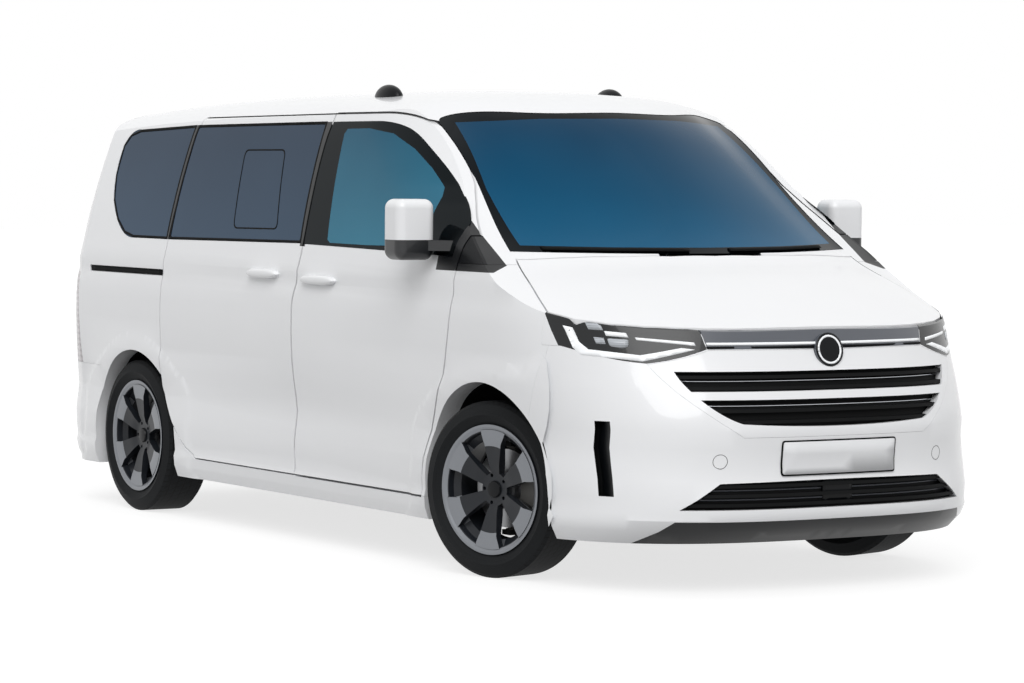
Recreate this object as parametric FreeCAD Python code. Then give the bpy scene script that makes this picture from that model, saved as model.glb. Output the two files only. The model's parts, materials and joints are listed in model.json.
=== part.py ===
# Minibus with hinged front doors, bonnet and tailgate, steered front wheels and rolling wheels.
# Frame: +X to the front, +Y to the left, +Z up, origin on the ground under the middle of the length.
import FreeCAD, Part
import math
import os

V = FreeCAD.Vector
os.makedirs("parts", exist_ok=True)

# Driving sizes of the body, in millimetres
overall_length = 5050.0
body_width = 2010.0
roof_height = 1950.0
wheelbase = 3100.0
front_overhang = 1060.0
belt_height = 1270.0
glass_top_height = 1800.0
door_top_height = 1838.0
sill_height = 288.0
floor_height = 420.0
floor_thickness = 60.0
side_wall = 70.0
upper_wall = 36.0
roof_wall = 34.0
panel_skin = 26.0
bumper_wall = 62.0
glass_thickness = 5.0
glass_recess = 1.5
panel_gap = 6.0
door_gap = 9.0
overrun = 400.0
cut_overrun = 5.0

# Where the main shut lines stand along the body
nose_start_x = 1500.0
tail_start_x = -2170.0
pillar_line_x = -78.0
slide_rear_x = -1335.0
fender_line_x = 1258.0
fender_line_low_x = 1168.0
cowl_x = 1652.0
windscreen_bow = 270.0
tailgate_hinge_x = -2200.0
bumper_top_height = 662.0
lamp_line_height = 1008.0

# Wheels, arches and steering
tyre_radius = 350.0
tyre_width = 235.0
rim_radius = 257.5
rim_width = 208.0
rim_wall = 14.0
flange_width = 9.0
bead_radius = 244.0
wheel_track = 1735.0
hub_radius = 66.0
spoke_count = 6
spoke_face_depth = 34.0
front_arch_radius = 440.0
rear_arch_radius = 416.0
arch_centre_height = 336.0
front_arch_lead = 34.0
rear_arch_lead = 28.0
flare_width = 108.0
flare_depth = 14.0
liner_wall = 5.0
kingpin_low = V(0.0, 775.0, 200.0)
kingpin_high = V(0.0, 640.0, 950.0)
steer_angle_at_rest = 15.6
disc_radius = 156.0
disc_thickness = 26.0
joint_clearance = 6.0

# Wheel, brake and hub sizes
wheel_inset = 125.0
flange_drop = 10.0
shoulder_drop = 13.0
tread_share = 0.78
well_radius = 214.0
face_set_back = 4.0
hub_dish = 30.0
spoke_thickness = 22.0
spoke_root_half = 15.0
spoke_waist_half = 44.0
spoke_tip_half = 70.0
spoke_phase = 3.0
mounting_face_y = -42.0
spigot_radius = 34.0
spigot_depth = 14.0
bolt_count = 5
bolt_circle_radius = 56.0
bolt_hole_radius = 7.5
hat_depth = 38.0
hat_radius = 80.0
hat_wall = 7.0
caliper_wall = 20.0
caliper_gap = 5.5
bearing_gap = 0.5
housing_radius = 52.0
kingpin_inset = 34.0
pin_radius = 18.0
trunnion_reach = 166.0
steering_arm_length = 120.0
arm_thickness = 24.0
yoke_thickness = 20.0
yoke_half = 30.0
yoke_set_back = 146.0
pin_gap = 0.5

# Suspension, engine and underbody sizes
subframe_length = 620.0
subframe_half = 380.0
subframe_low = 190.0
beam_depth = 90.0
arm_spread = 170.0
strut_top_y = 610.0
strut_top_z = 900.0
strut_foot_y = 650.0
strut_radius = 24.0
spring_radius = 62.0
arm_gap = 16.0
arm_width = 38.0
arm_length_behind = 62.0
arm_low = 240.0
beam_lead = 210.0
beam_width = 70.0
beam_low = 300.0
beam_height = 40.0
spring_y = 590.0
spring_seat_half = 62.0
trailing_length = 520.0
wheelhouse_lift = 0.0
liner_bottom = 250.0
liner_inset = 14.0
front_house_y = 545.0
rear_house_y = 690.0
strut_opening = 150.0
floor_front_x = 1120.0
post_half = 52.0
post_depth = 48.0
sill_inset = 97.0
sill_depth = 60.0
sill_bottom = 215.0
sill_rear_x = -1120.0
sill_front_x = 1030.0
engine_rear_x, engine_front_x = 1560.0, 2080.0
engine_half = 400.0
engine_top = 940.0
tank_rear_x, tank_front_x = -900.0, 100.0
tank_inner_y, tank_outer_y = -640.0, -130.0
tank_low_z = 215.0
tank_round = 40.0
exhaust_radius = 27.0
exhaust_length = 3300.0
exhaust_rear_x = -2330.0
exhaust_y = 330.0
exhaust_z = 265.0
silencer_radius = 78.0
silencer_length = 620.0
silencer_x = -950.0

# Cabin sizes
dashboard_half = 900.0
driver_y = 400.0
column_angle = 24.0
column_radius = 30.0
column_length = 330.0
steering_wheel_x = 905.0
steering_wheel_z = 1110.0
steering_wheel_radius = 188.0
steering_rim_radius = 14.0
seat_width = 520.0
seat_depth = 520.0
pedestal_height = 250.0
cushion_top = 400.0
back_thickness = 130.0
back_lean = 170.0
back_top = 980.0
rest_half = 130.0
rest_top = 1190.0
front_seat_x = 180.0
middle_seat_x = -780.0
rear_seat_x = -1640.0

# Roof pods, mirrors, handles and the rail slot
pod_length = 205.0
pod_width = 84.0
pod_rise = 62.0
pod_x = 0.0
pod_y = 570.0
pod_seat_z = 1908.0
mirror_x = 1050.0
mirror_depth = 140.0
mirror_outer_y = 1165.0
mirror_inner_y = 990.0
mirror_low_z = 1245.0
mirror_high_z = 1490.0
mirror_round = 38.0
mirror_arm_depth = 42.0
arm_root_x = 1180.0
arm_root_half = 55.0
arm_root_y = 900.0
handle_stand = 17.0
handle_length = 210.0
handle_depth = 30.0
front_handle_x = 65.0
front_handle_z = 1118.0
slide_handle_x = -425.0
slide_handle_z = 1132.0
rail_rear_x = -2110.0
rail_low_z, rail_high_z = 1104.0, 1134.0
rail_depth = 26.0
boss_tilt_angle = 12.0
lamp_rear_x = 1868.0
cowl_half = 740.0

half_length = overall_length / 2
half_width = body_width / 2
front_axle_x = half_length - front_overhang
rear_axle_x = front_axle_x - wheelbase
floor_under = floor_height - floor_thickness
front_arch_x = front_axle_x + front_arch_lead
rear_arch_x = rear_axle_x + rear_arch_lead

# Level lines of the lower body and the greenhouse: share of the roof height, share of the half width,
# share of the half length at the nose and at the tail, roundness of the nose in plan, and the share of the
# half length at which the nose begins to turn in
level_shares = (
    (0.100, 0.962, 0.958, 0.962, 2.9, 0.594),
    (0.126, 0.980, 0.986, 0.980, 2.9, 0.594),
    (0.148, 0.984, 0.997, 0.990, 2.9, 0.594),
    (0.162, 0.977, 0.999, 0.994, 2.9, 0.594),
    (0.190, 0.981, 0.999, 0.998, 2.9, 0.594),
    (0.226, 0.982, 0.992, 1.000, 2.9, 0.594),
    (0.256, 0.975, 0.990, 1.000, 2.9, 0.594),
    (0.287, 0.969, 0.993, 0.999, 2.85, 0.594),
    (0.322, 0.976, 0.996, 0.996, 2.8, 0.594),
    (0.356, 0.986, 0.991, 0.984, 2.7, 0.594),
    (0.400, 0.995, 0.981, 0.976, 2.6, 0.594),
    (0.461, 1.000, 0.962, 0.973, 2.5, 0.594),
    (0.513, 0.999, 0.948, 0.972, 2.45, 0.594),
    (0.546, 0.994, 0.938, 0.971, 2.4, 0.594),
    (0.572, 0.984, 0.928, 0.969, 2.4, 0.594),
    (0.598, 0.985, 0.917, 0.967, 2.4, 0.594),
    (0.628, 0.972, 0.900, 0.964, 2.35, 0.560),
    (0.656, 0.960, 0.875, 0.961, 2.3, 0.500),
    (0.687, 0.947, 0.840, 0.957, 2.25, 0.420),
    (0.718, 0.933, 0.800, 0.952, 2.2, 0.350),
    (0.756, 0.914, 0.750, 0.946, 2.1, 0.270),
    (0.795, 0.893, 0.705, 0.939, 2.0, 0.210),
    (0.834, 0.870, 0.665, 0.931, 2.0, 0.170),
    (0.872, 0.846, 0.630, 0.922, 2.0, 0.130),
    (0.898, 0.828, 0.610, 0.915, 2.0, 0.100),
    (0.923, 0.808, 0.590, 0.907, 2.0, 0.080),
    (0.941, 0.793, 0.575, 0.901, 2.0, 0.070),
    (0.959, 0.777, 0.565, 0.894, 2.0, 0.060),
    (1.030, 0.706, 0.540, 0.862, 2.0, 0.040),
)
tail_corner_width = 300.0

# Centre line of bonnet, windscreen and roof: share of half length, share of roof height, share of half width at
# which the surface turns down at its edge, shares of the crown and of the turn, and share of the windscreen's bow
top_line_shares = (
    (1.110, 0.4400, 0.960, 1.00, 1.00, 0.00),
    (1.010, 0.4880, 0.960, 1.00, 1.00, 0.60),
    (0.947, 0.5160, 0.965, 1.00, 1.00, 0.65),
    (0.871, 0.5565, 0.975, 0.95, 1.00, 0.72),
    (0.792, 0.5930, 0.980, 0.85, 0.90, 0.82),
    (0.721, 0.6210, 0.980, 0.60, 0.60, 0.93),
    (0.668, 0.6420, 0.975, 0.25, 0.30, 1.00),
    (0.645, 0.6580, 0.965, 0.18, 0.20, 1.00),
    (0.609, 0.6880, 0.945, 0.20, 0.20, 1.00),
    (0.515, 0.7870, 0.860, 0.30, 0.25, 1.03),
    (0.430, 0.8790, 0.800, 0.40, 0.20, 1.05),
    (0.373, 0.9340, 0.775, 0.55, 0.25, 1.12),
    (0.329, 0.9640, 0.770, 0.68, 0.30, 1.08),
    (0.277, 0.9830, 0.775, 0.80, 0.40, 0.90),
    (0.198, 0.9930, 0.785, 0.92, 0.60, 0.60),
    (0.079, 0.9985, 0.795, 1.00, 0.85, 0.25),
    (-0.119, 1.0000, 0.795, 1.00, 1.00, 0.00),
    (-0.396, 0.9955, 0.797, 1.00, 1.00, 0.00),
    (-0.673, 0.9830, 0.808, 1.00, 1.00, 0.00),
    (-0.871, 0.9670, 0.821, 1.00, 1.00, 0.00),
    (-0.970, 0.9560, 0.829, 1.00, 1.00, 0.00),
    (-1.110, 0.9350, 0.843, 1.00, 1.00, 0.00),
)
bow_limit_share = 0.86
cross_shares = (-1.45, -1.25, -1.1, -1.0, -0.92, -0.82, -0.68, -0.46, -0.23,
                0.0, 0.23, 0.46, 0.68, 0.82, 0.92, 1.0, 1.1, 1.25, 1.45)
roof_crown = 55.0
roof_edge_drop = 62.0
crown_power = 2.2
edge_power = 9.0
inset_lead_share = 0.32


def spline(points, closed=False):
    """A smooth edge through the points."""
    curve = Part.BSplineCurve()
    curve.interpolate(Points=points, PeriodicFlag=closed)
    return curve.toShape()


def polygon_face(points):
    """A flat face with straight sides through the points."""
    return Part.Face(Part.makePolygon(points + [points[0]]))


def evenly(points, count):
    """Points picked at equal distances along a fine chain."""
    lengths = [0.0]
    for p, q in zip(points, points[1:]):
        lengths.append(lengths[-1] + (q - p).Length)
    picked = []
    k = 0
    for i in range(count + 1):
        target = lengths[-1] * i / count
        while k < len(points) - 2 and lengths[k + 1] < target:
            k += 1
        t = (target - lengths[k]) / (lengths[k + 1] - lengths[k])
        picked.append(points[k] + (points[k + 1] - points[k]) * min(1.0, t))
    return picked


def nose_edge(centre_x, reach, half, power, height):
    """The rounded nose in plan, from the right side to the left, leaving both sides straight."""
    fine = []
    steps = 240
    for i in range(steps + 1):
        angle = -math.pi / 2 + math.pi * i / steps
        c, s = math.cos(angle), math.sin(angle)
        x = reach * abs(c) ** (2 / power) if 0 < i < steps else 0
        fine.append(V(centre_x + x, half * math.copysign(abs(s) ** (2 / power), s), height))
    points = evenly(fine, 14)
    curve = Part.BSplineCurve()
    curve.interpolate(Points=points, InitialTangent=V(reach, 0, 0), FinalTangent=V(-reach, 0, 0))
    return curve.toShape()


def corner_edge(start, end, corner):
    """A quarter-ellipse tail corner between the side and the flat rear; corner is where their lines meet."""
    points = []
    steps = 8
    for i in range(steps + 1):
        angle = math.pi / 2 * i / steps
        c, s = math.cos(angle), math.sin(angle)
        centre = start + (end - corner)
        points.append(centre + (start - centre) * c + (end - centre) * s)
    curve = Part.BSplineCurve()
    curve.interpolate(Points=points, InitialTangent=corner - start, FinalTangent=end - corner)
    return curve.toShape()


def wall_at(height, lower, upper):
    """The wall is full below the belt and thins to the window frames above it."""
    blend_start, blend_end = belt_height - side_wall, belt_height + side_wall
    t = min(1.0, max(0.0, (height - blend_start) / (blend_end - blend_start)))
    return lower + (upper - lower) * t * t * (3 - 2 * t)


def tube(lower_inset, upper_inset, end_inset):
    """The body seen from above as a loft of level outlines, from under the sills to above the roof."""
    wires = []
    for z_share, y_share, nose_share, tail_share, power, turn_share in level_shares:
        z = z_share * roof_height
        half = y_share * half_width - wall_at(z, lower_inset, upper_inset)
        turn_x = turn_share * half_length
        nose = nose_share * half_length - end_inset - turn_x
        tail = tail_start_x + tail_share * half_length - end_inset
        front = nose_edge(turn_x, nose, half, power, z)
        left_end, right_end = V(tail_start_x, half, z), V(tail_start_x, -half, z)
        left_corner, right_corner = V(tail_start_x - tail, half, z), V(tail_start_x - tail, -half, z)
        left_rear = left_corner - V(0, tail_corner_width, 0)
        right_rear = right_corner + V(0, tail_corner_width, 0)
        left = Part.LineSegment(V(turn_x, half, z), left_end).toShape()
        left_turn = corner_edge(left_end, left_rear, left_corner)
        rear = Part.LineSegment(left_rear, right_rear).toShape()
        right_turn = corner_edge(right_rear, right_end, right_corner)
        right = Part.LineSegment(right_end, V(turn_x, -half, z)).toShape()
        wires.append(Part.Wire([front, left, left_turn, rear, right_turn, right]))
    return Part.makeLoft(wires, True, True)


def past_edge(cross, power):
    """A power of the place across, which runs on straight outside the edge."""
    return cross ** power if cross < 1 else 1 + power * (cross - 1)


def top_point(station, cross, inset, side_inset):
    """A point of the bonnet, windscreen and roof surface; cross runs from edge to edge as -1 to 1."""
    x_share, z_share, edge_share, crown_share, turn_share, bow_share = station
    half = edge_share * half_width - side_inset
    crown = crown_share * roof_crown * past_edge(abs(cross), crown_power)
    turn = turn_share * roof_edge_drop * past_edge(abs(cross), edge_power)
    z = z_share * roof_height - crown - turn
    x = x_share * half_length - bow_share * windscreen_bow * min(abs(cross), bow_limit_share) ** 2
    return V(x - inset_lead_share * inset, half * cross, z - inset)


def below_top(inset, side_inset):
    """Everything under the bonnet, windscreen and roof surface, which runs on past the sides."""
    grid = [[top_point(station, c, inset, side_inset) for c in cross_shares] for station in top_line_shares]
    surface = Part.BSplineSurface()
    surface.interpolate(grid)
    return surface.toShape().extrude(V(0, 0, -2 * roof_height))


def envelope(lower_inset, upper_inset, top_inset, end_inset):
    """The closed body form, moved inwards by the insets."""
    return tube(lower_inset, upper_inset, end_inset).common(below_top(top_inset, upper_inset))


def side_prism(points, sign, slant_share=0.0):
    """A prism through one side of the body from an outline in the side view; it leans forwards as it goes in."""
    inner = half_width * 0.25
    depth = half_width + overrun - inner
    lean = slant_share * (half_width - inner)
    face = polygon_face([V(x + lean, sign * inner, z) for x, z in points])
    return face.extrude(V(-slant_share * depth, sign * depth, 0))


def front_prism(points, x_from, x_to):
    """A prism along X from an outline in the front view."""
    return polygon_face([V(x_from, y, z) for y, z in points]).extrude(V(x_to - x_from, 0, 0))


def block(x0, x1, y0, y1, z0, z1):
    """A box from its six limits."""
    return Part.makeBox(x1 - x0, y1 - y0, z1 - z0, V(x0, y0, z0))


def cylinder_y(radius, x, y0, y1, z):
    """A cylinder across the vehicle."""
    return Part.makeCylinder(radius, y1 - y0, V(x, y0, z), V(0, 1, 0))


def mirrored(shape):
    """The same piece on the other side."""
    return shape.mirror(V(0, 0, 0), V(0, 1, 0))


def solids_only(shape):
    """One clean solid, or a compound of them, with slivers dropped."""
    largest = max(s.Volume for s in shape.Solids)
    kept = [s for s in shape.Solids if s.Volume > largest * sliver_share]
    return kept[0] if len(kept) == 1 else Part.makeCompound(kept)


sliver_share = 0.01


def solid_volume(solid):
    """The volume of one solid."""
    return solid.Volume


def save(name, shape):
    """Writes one node."""
    shape.exportStep("parts/" + name + ".step")

# Shut lines seen from the side: share of the half length, share of the roof height.
# Each outline is a chain of runs; a run of more than two points is a smooth curve.
front_door_shares = (
    ((0.4071, 0.1497), (-0.0269, 0.1497)),
    ((-0.0269, 0.1497), (-0.0269, 0.5333)),
    ((-0.0269, 0.5333), (-0.0174, 0.6513), (-0.0290, 0.8000), (-0.0380, 0.9426)),
    ((-0.0380, 0.9426), (0.1188, 0.9436)),
    ((0.1188, 0.9436), (0.1901, 0.9385), (0.2416, 0.9246), (0.3010, 0.8933),
     (0.3683, 0.8472), (0.4356, 0.7949), (0.4871, 0.7518), (0.5117, 0.7272)),
    ((0.5117, 0.7272), (0.4950, 0.6318)),
    ((0.4950, 0.6318), (0.4935, 0.5641), (0.4840, 0.4615), (0.4626, 0.3744), (0.4404, 0.3179),
     (0.4222, 0.2667), (0.4103, 0.2154), (0.4071, 0.1497)),
)
front_window_shares = (
    ((0.4790, 0.6472), (0.3564, 0.6503), (-0.0143, 0.6574)),
    ((-0.0143, 0.6574), (-0.0317, 0.9262)),
    ((-0.0317, 0.9262), (0.1188, 0.9272)),
    ((0.1188, 0.9272), (0.1861, 0.9215), (0.2376, 0.9056), (0.2931, 0.8733),
     (0.3644, 0.8246), (0.4317, 0.7723), (0.4752, 0.7349), (0.4920, 0.7150)),
    ((0.4920, 0.7150), (0.4790, 0.6472)),
)
sliding_door_shares = (
    ((-0.0317, 0.1497), (-0.0317, 0.5333)),
    ((-0.0317, 0.5333), (-0.0222, 0.6513), (-0.0338, 0.8000), (-0.0428, 0.9426)),
    ((-0.0428, 0.9426), (-0.5275, 0.9364)),
    ((-0.5275, 0.9364), (-0.5275, 0.3077)),
    ((-0.5275, 0.3077), (-0.5172, 0.2795), (-0.4931, 0.2410), (-0.4673, 0.2092), (-0.4317, 0.1744),
     (-0.4000, 0.1497)),
    ((-0.4000, 0.1497), (-0.0317, 0.1497)),
)
sliding_window_shares = (
    ((-0.0261, 0.6585), (-0.0444, 0.9272)),
    ((-0.0444, 0.9272), (-0.5236, 0.9210)),
    ((-0.5236, 0.9210), (-0.5236, 0.6523)),
    ((-0.5236, 0.6523), (-0.0261, 0.6585)),
)
quarter_window_shares = (
    ((-0.5315, 0.6523), (-0.5315, 0.9210)),
    ((-0.5315, 0.9210), (-0.7525, 0.9108)),
    ((-0.7525, 0.9108), (-0.7881, 0.9000), (-0.8059, 0.8718)),
    ((-0.8059, 0.8718), (-0.8040, 0.8000), (-0.7861, 0.7385)),
    ((-0.7861, 0.7385), (-0.7525, 0.6923), (-0.7129, 0.6615), (-0.6733, 0.6523)),
    ((-0.6733, 0.6523), (-0.5315, 0.6523)),
)
pillar_trim_shares = (
    ((0.4982, 0.6349), (0.5149, 0.7251)),
    ((0.5149, 0.7251), (0.5465, 0.6933), (0.5743, 0.6615), (0.5925, 0.6349)),
    ((0.5925, 0.6349), (0.4982, 0.6349)),
)
fender_shares = (
    ((0.3960, 0.1482), (1.1000, 0.1482)),
    ((1.1000, 0.1482), (1.1000, 0.6590)),
    ((1.1000, 0.6590), (0.5774, 0.6590)),
    ((0.5774, 0.6590), (0.5940, 0.6339)),
    ((0.5940, 0.6339), (0.3960, 0.6339)),
    ((0.3960, 0.6339), (0.3960, 0.1482)),
)
front_bumper_shares = (
    ((0.6900, 0.0500), (1.1000, 0.0500)),
    ((1.1000, 0.0500), (1.1000, 0.5400)),
    ((1.1000, 0.5400), (0.7545, 0.4821)),
    ((0.7545, 0.4821), (0.7176, 0.3282)),
    ((0.7176, 0.3282), (0.6900, 0.0500)),
)
rear_bumper_shares = (
    ((-1.1000, 0.0500), (-1.1000, 0.3395)),
    ((-1.1000, 0.3395), (-0.7800, 0.3395)),
    ((-0.7800, 0.3395), (-0.7636, 0.3000)),
    ((-0.7636, 0.3000), (-0.7636, 0.0500)),
    ((-0.7636, 0.0500), (-1.1000, 0.0500)),
)
tail_lamp_shares = (
    ((-1.1000, 0.3415), (-1.1000, 0.5740)),
    ((-1.1000, 0.5740), (-0.8772, 0.5615)),
    ((-0.8772, 0.5615), (-0.8673, 0.3415)),
    ((-0.8673, 0.3415), (-1.1000, 0.3415)),
)
dashboard_shares = (
    ((0.4200, 0.5100), (0.3900, 0.5450)),
    ((0.3900, 0.5450), (0.4000, 0.5850), (0.4300, 0.6050), (0.5500, 0.6130)),
    ((0.5500, 0.6130), (0.5620, 0.5200)),
    ((0.5620, 0.5200), (0.4200, 0.5100)),
)
bulkhead_shares = (
    ((0.4250, 0.1846), (0.4250, 0.2154)),
    ((0.4250, 0.2154), (0.5500, 0.3950)),
    ((0.5500, 0.3950), (0.5660, 0.6080)),
    ((0.5660, 0.6080), (0.5800, 0.6080)),
    ((0.5800, 0.6080), (0.5700, 0.3800)),
    ((0.5700, 0.3800), (0.4550, 0.1846)),
    ((0.4550, 0.1846), (0.4250, 0.1846)),
)

# Shut lines seen from the front or rear: share of the half width, share of the roof height
headlamp_shares = (
    ((0.5274, 0.5170), (0.7363, 0.5364), (0.9353, 0.5700), (1.0400, 0.5900)),
    ((1.0400, 0.5900), (1.0400, 0.4821)),
    ((1.0400, 0.4821), (0.9234, 0.4821)),
    ((0.9234, 0.4821), (0.8458, 0.4650), (0.7184, 0.4523)),
    ((0.7184, 0.4523), (0.6368, 0.4605), (0.5124, 0.4800)),
    ((0.5124, 0.4800), (0.5274, 0.5170)),
)
light_band_shares = (
    ((-0.5234, 0.5170), (-0.5084, 0.4800)),
    ((-0.5084, 0.4800), (0.5084, 0.4800)),
    ((0.5084, 0.4800), (0.5234, 0.5170)),
    ((0.5234, 0.5170), (-0.5234, 0.5170)),
)
surround_shares = (
    ((0.5035, 0.4779), (0.6368, 0.4584), (0.7184, 0.4502)),
    ((0.7184, 0.4502), (0.6965, 0.4308), (0.5632, 0.3590), (0.4279, 0.3097)),
    ((0.4279, 0.3097), (-0.4279, 0.3097)),
    ((-0.4279, 0.3097), (-0.5632, 0.3590), (-0.6965, 0.4308), (-0.7184, 0.4502)),
    ((-0.7184, 0.4502), (-0.6368, 0.4584), (-0.5035, 0.4779)),
    ((-0.5035, 0.4779), (0.5035, 0.4779)),
)
grille_shares = (
    ((0.6418, 0.4369), (0.6090, 0.4051), (0.5672, 0.3805), (0.5174, 0.3590), (0.4279, 0.3359)),
    ((0.4279, 0.3359), (0.0000, 0.3287), (-0.4279, 0.3359)),
    ((-0.4279, 0.3359), (-0.5174, 0.3590), (-0.5672, 0.3805), (-0.6090, 0.4051), (-0.6418, 0.4369)),
    ((-0.6418, 0.4369), (0.6418, 0.4369)),
)
lower_grille_shares = (
    ((0.6647, 0.1692), (0.5174, 0.2205)),
    ((0.5174, 0.2205), (0.0000, 0.2236), (-0.5174, 0.2205)),
    ((-0.5174, 0.2205), (-0.6647, 0.1692)),
    ((-0.6647, 0.1692), (0.6647, 0.1692)),
)
windscreen_shares = (
    ((-0.8210, 0.6600), (0.0000, 0.6560), (0.8210, 0.6600)),
    ((0.8210, 0.6600), (0.7850, 0.7300), (0.7510, 0.8036), (0.7340, 0.8656), (0.7220, 0.9150)),
    ((0.7220, 0.9150), (0.7120, 0.9290), (0.6800, 0.9370), (0.3500, 0.9465), (0.0000, 0.9490),
     (-0.3500, 0.9465), (-0.6800, 0.9370), (-0.7120, 0.9290), (-0.7220, 0.9150)),
    ((-0.7220, 0.9150), (-0.7340, 0.8656), (-0.7510, 0.8036), (-0.7850, 0.7300), (-0.8210, 0.6600)),
)
tailgate_shares = (
    ((-0.7900, 0.3426), (0.7900, 0.3426)),
    ((0.7900, 0.3426), (0.7950, 0.5000), (0.8000, 0.6200), (0.7750, 0.7600), (0.7250, 0.8800),
     (0.6600, 0.9800)),
    ((0.6600, 0.9800), (-0.6600, 0.9800)),
    ((-0.6600, 0.9800), (-0.7250, 0.8800), (-0.7750, 0.7600), (-0.8000, 0.6200), (-0.7950, 0.5000),
     (-0.7900, 0.3426)),
)
tailgate_window_shares = (
    ((-0.7300, 0.6500), (0.0000, 0.6450), (0.7300, 0.6500)),
    ((0.7300, 0.6500), (0.7150, 0.7600), (0.6650, 0.8750), (0.6330, 0.9200)),
    ((0.6330, 0.9200), (0.0000, 0.9290), (-0.6330, 0.9200)),
    ((-0.6330, 0.9200), (-0.6650, 0.8750), (-0.7150, 0.7600), (-0.7300, 0.6500)),
)

# Sizes of the openings and of the pieces set into them
seam_gap = 0.8
frame_width = 34.0
pane_clearance = 1.0
door_slant_share = 0.2
roof_split = 655.0
lamp_inner_width = 800.0
slot_height_low, slot_height_high = 376.0, 660.0
slot_inner, slot_outer = 848.0, 880.0
slot_depth = 34.0
slat_thickness = 13.0
slat_depth = 26.0
grille_recess = 34.0
divider_low, divider_high = 746.0, 777.0
boss_radius = 66.0
boss_height = 928.0
boss_stand = 12.0
bonnet_edge_inset = 24.0
bonnet_front_gap = 12.0
bonnet_side_y = 826.0
cowl_depth = 42.0
cowl_reach = 150.0
trim_depth = 12.0


def grown(points, amount):
    """The closed outline with every side moved outwards by the amount."""
    count = len(points)
    area = sum(points[i - 1][0] * points[i][1] - points[i][0] * points[i - 1][1] for i in range(count))
    turn = math.copysign(1.0, area)
    lines = []
    for i in range(count):
        (ax, ay), (bx, by) = points[i], points[(i + 1) % count]
        length = math.hypot(bx - ax, by - ay)
        nx, ny = turn * (by - ay) / length, -turn * (bx - ax) / length
        lines.append((nx, ny, nx * ax + ny * ay + amount))
    moved = []
    for i in range(count):
        n1, n2 = lines[i - 1], lines[i]
        det = n1[0] * n2[1] - n1[1] * n2[0]
        if abs(det) < parallel_limit:
            moved.append((points[i][0] + n2[0] * amount, points[i][1] + n2[1] * amount))
            continue
        moved.append(((n1[2] * n2[1] - n2[2] * n1[1]) / det, (n1[0] * n2[2] - n2[0] * n1[2]) / det))
    return moved


parallel_limit = 0.02


def outline_face(runs, unit, amount, place):
    """A flat face from runs of shares, grown by the amount and set in space by place(a, b)."""
    flat = [(a * unit[0], b * unit[1]) for run in runs for a, b in run[:-1]]
    points = [place(a, b) for a, b in grown(flat, amount)]
    edges = []
    start = 0
    for run in runs:
        chain = [points[(start + i) % len(points)] for i in range(len(run))]
        edges.append(spline(chain) if len(run) > 2 else Part.LineSegment(chain[0], chain[1]).toShape())
        start += len(run) - 1
    return Part.Face(Part.Wire(edges))


def side_prism(runs, sign, amount=0.0, slant=0.0, inner=half_width * 0.7):
    """A prism through one side of the body from its outline in the side view; it may lean forwards as it goes in."""
    depth = half_width + overrun - inner
    lean = slant * (half_width - inner)
    face = outline_face(runs, (half_length, roof_height), amount, lambda x, z: V(x + lean, sign * inner, z))
    return face.extrude(V(-slant * depth, sign * depth, 0))


def end_prism(runs, sign, amount=0.0, start=None):
    """A prism along X from an outline in the front view, towards the nose or the tail."""
    x0 = sign * nose_start_x * 2 / 3 if start is None else start
    face = outline_face(runs, (half_width, roof_height), amount, lambda y, z: V(x0, y, z))
    return face.extrude(V(sign * (half_length + overrun) - x0, 0, 0))


def level_at(height):
    """The nose reach, half width and roundness of the body at a height."""
    z_share = height / roof_height
    for low, high in zip(level_shares, level_shares[1:]):
        if low[0] <= z_share <= high[0]:
            t = (z_share - low[0]) / (high[0] - low[0])
            return [a + t * (b - a) for a, b in zip(low, high)]
    return list(level_shares[-1])


def nose_point(y, height, inset):
    """Where the nose surface stands at a place across the width."""
    z_share, y_share, nose_share, tail_share, power, turn_share = level_at(height)
    across = min(1.0, abs(y) / (y_share * half_width))
    turn_x = turn_share * half_length
    reach = nose_share * half_length - turn_x
    return turn_x + reach * (1 - across ** power) ** (1 / power) - inset


def bonnet_outline(amount, lead=0.0):
    """The bonnet in plan: cowl edge, sides along the wings, and front edge along the nose."""
    points = []
    cowl_steps = (-1.0, -0.75, -0.5, -0.25, 0.0, 0.25, 0.5, 0.75, 1.0)
    for step in cowl_steps:
        y = step * bonnet_side_y
        points.append((cowl_x - windscreen_bow * (y / half_width) ** 2, y))
    side_points = ((0.650, 0.868), (0.700, 0.903), (0.741, 0.928))
    points += [(x * half_length, y * half_width) for x, y in side_points]
    front_steps = (0.88, 0.80, 0.70, 0.60, 0.50, 0.38, 0.25, 0.12, 0.0)
    inset = bonnet_edge_inset - lead
    front = [(nose_point(y * half_width, lamp_line_height, inset), y * half_width) for y in front_steps]
    points += front + [(x, -y) for x, y in reversed(front[:-1])]
    points += [(x * half_length, -y * half_width) for x, y in reversed(side_points)]
    return grown(points, amount)


def plan_prism(points, z0, z1):
    """A vertical prism from a plan outline."""
    return polygon_face([V(x, y, z0) for x, y in points]).extrude(V(0, 0, z1 - z0))


def revolved(profile, centre, axis):
    """A turned piece from a profile of radius and distance along the axis, about an axis along Y."""
    points = [V(centre.x + radius, centre.y + along, centre.z) for radius, along in profile]
    return polygon_face(points).revolve(centre, axis, 360)


def flare(x, arch_radius, sign):
    """The raised band round a wheel arch, flat at the arch and fading out on a cone."""
    skin = half_width * level_at(arch_centre_height + arch_radius)[1]
    outer_radius = arch_radius + flare_width
    slope = (flare_width / 2) / flare_depth
    inner_y, outer_y = skin - side_wall / 2, skin + flare_depth
    r_inner = outer_radius + slope * (skin - inner_y)
    r_outer = outer_radius - slope * flare_depth
    cone = Part.makeCone(r_inner, r_outer, outer_y - inner_y, V(x, sign * inner_y, arch_centre_height), V(0, sign, 0))
    return cone


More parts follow.
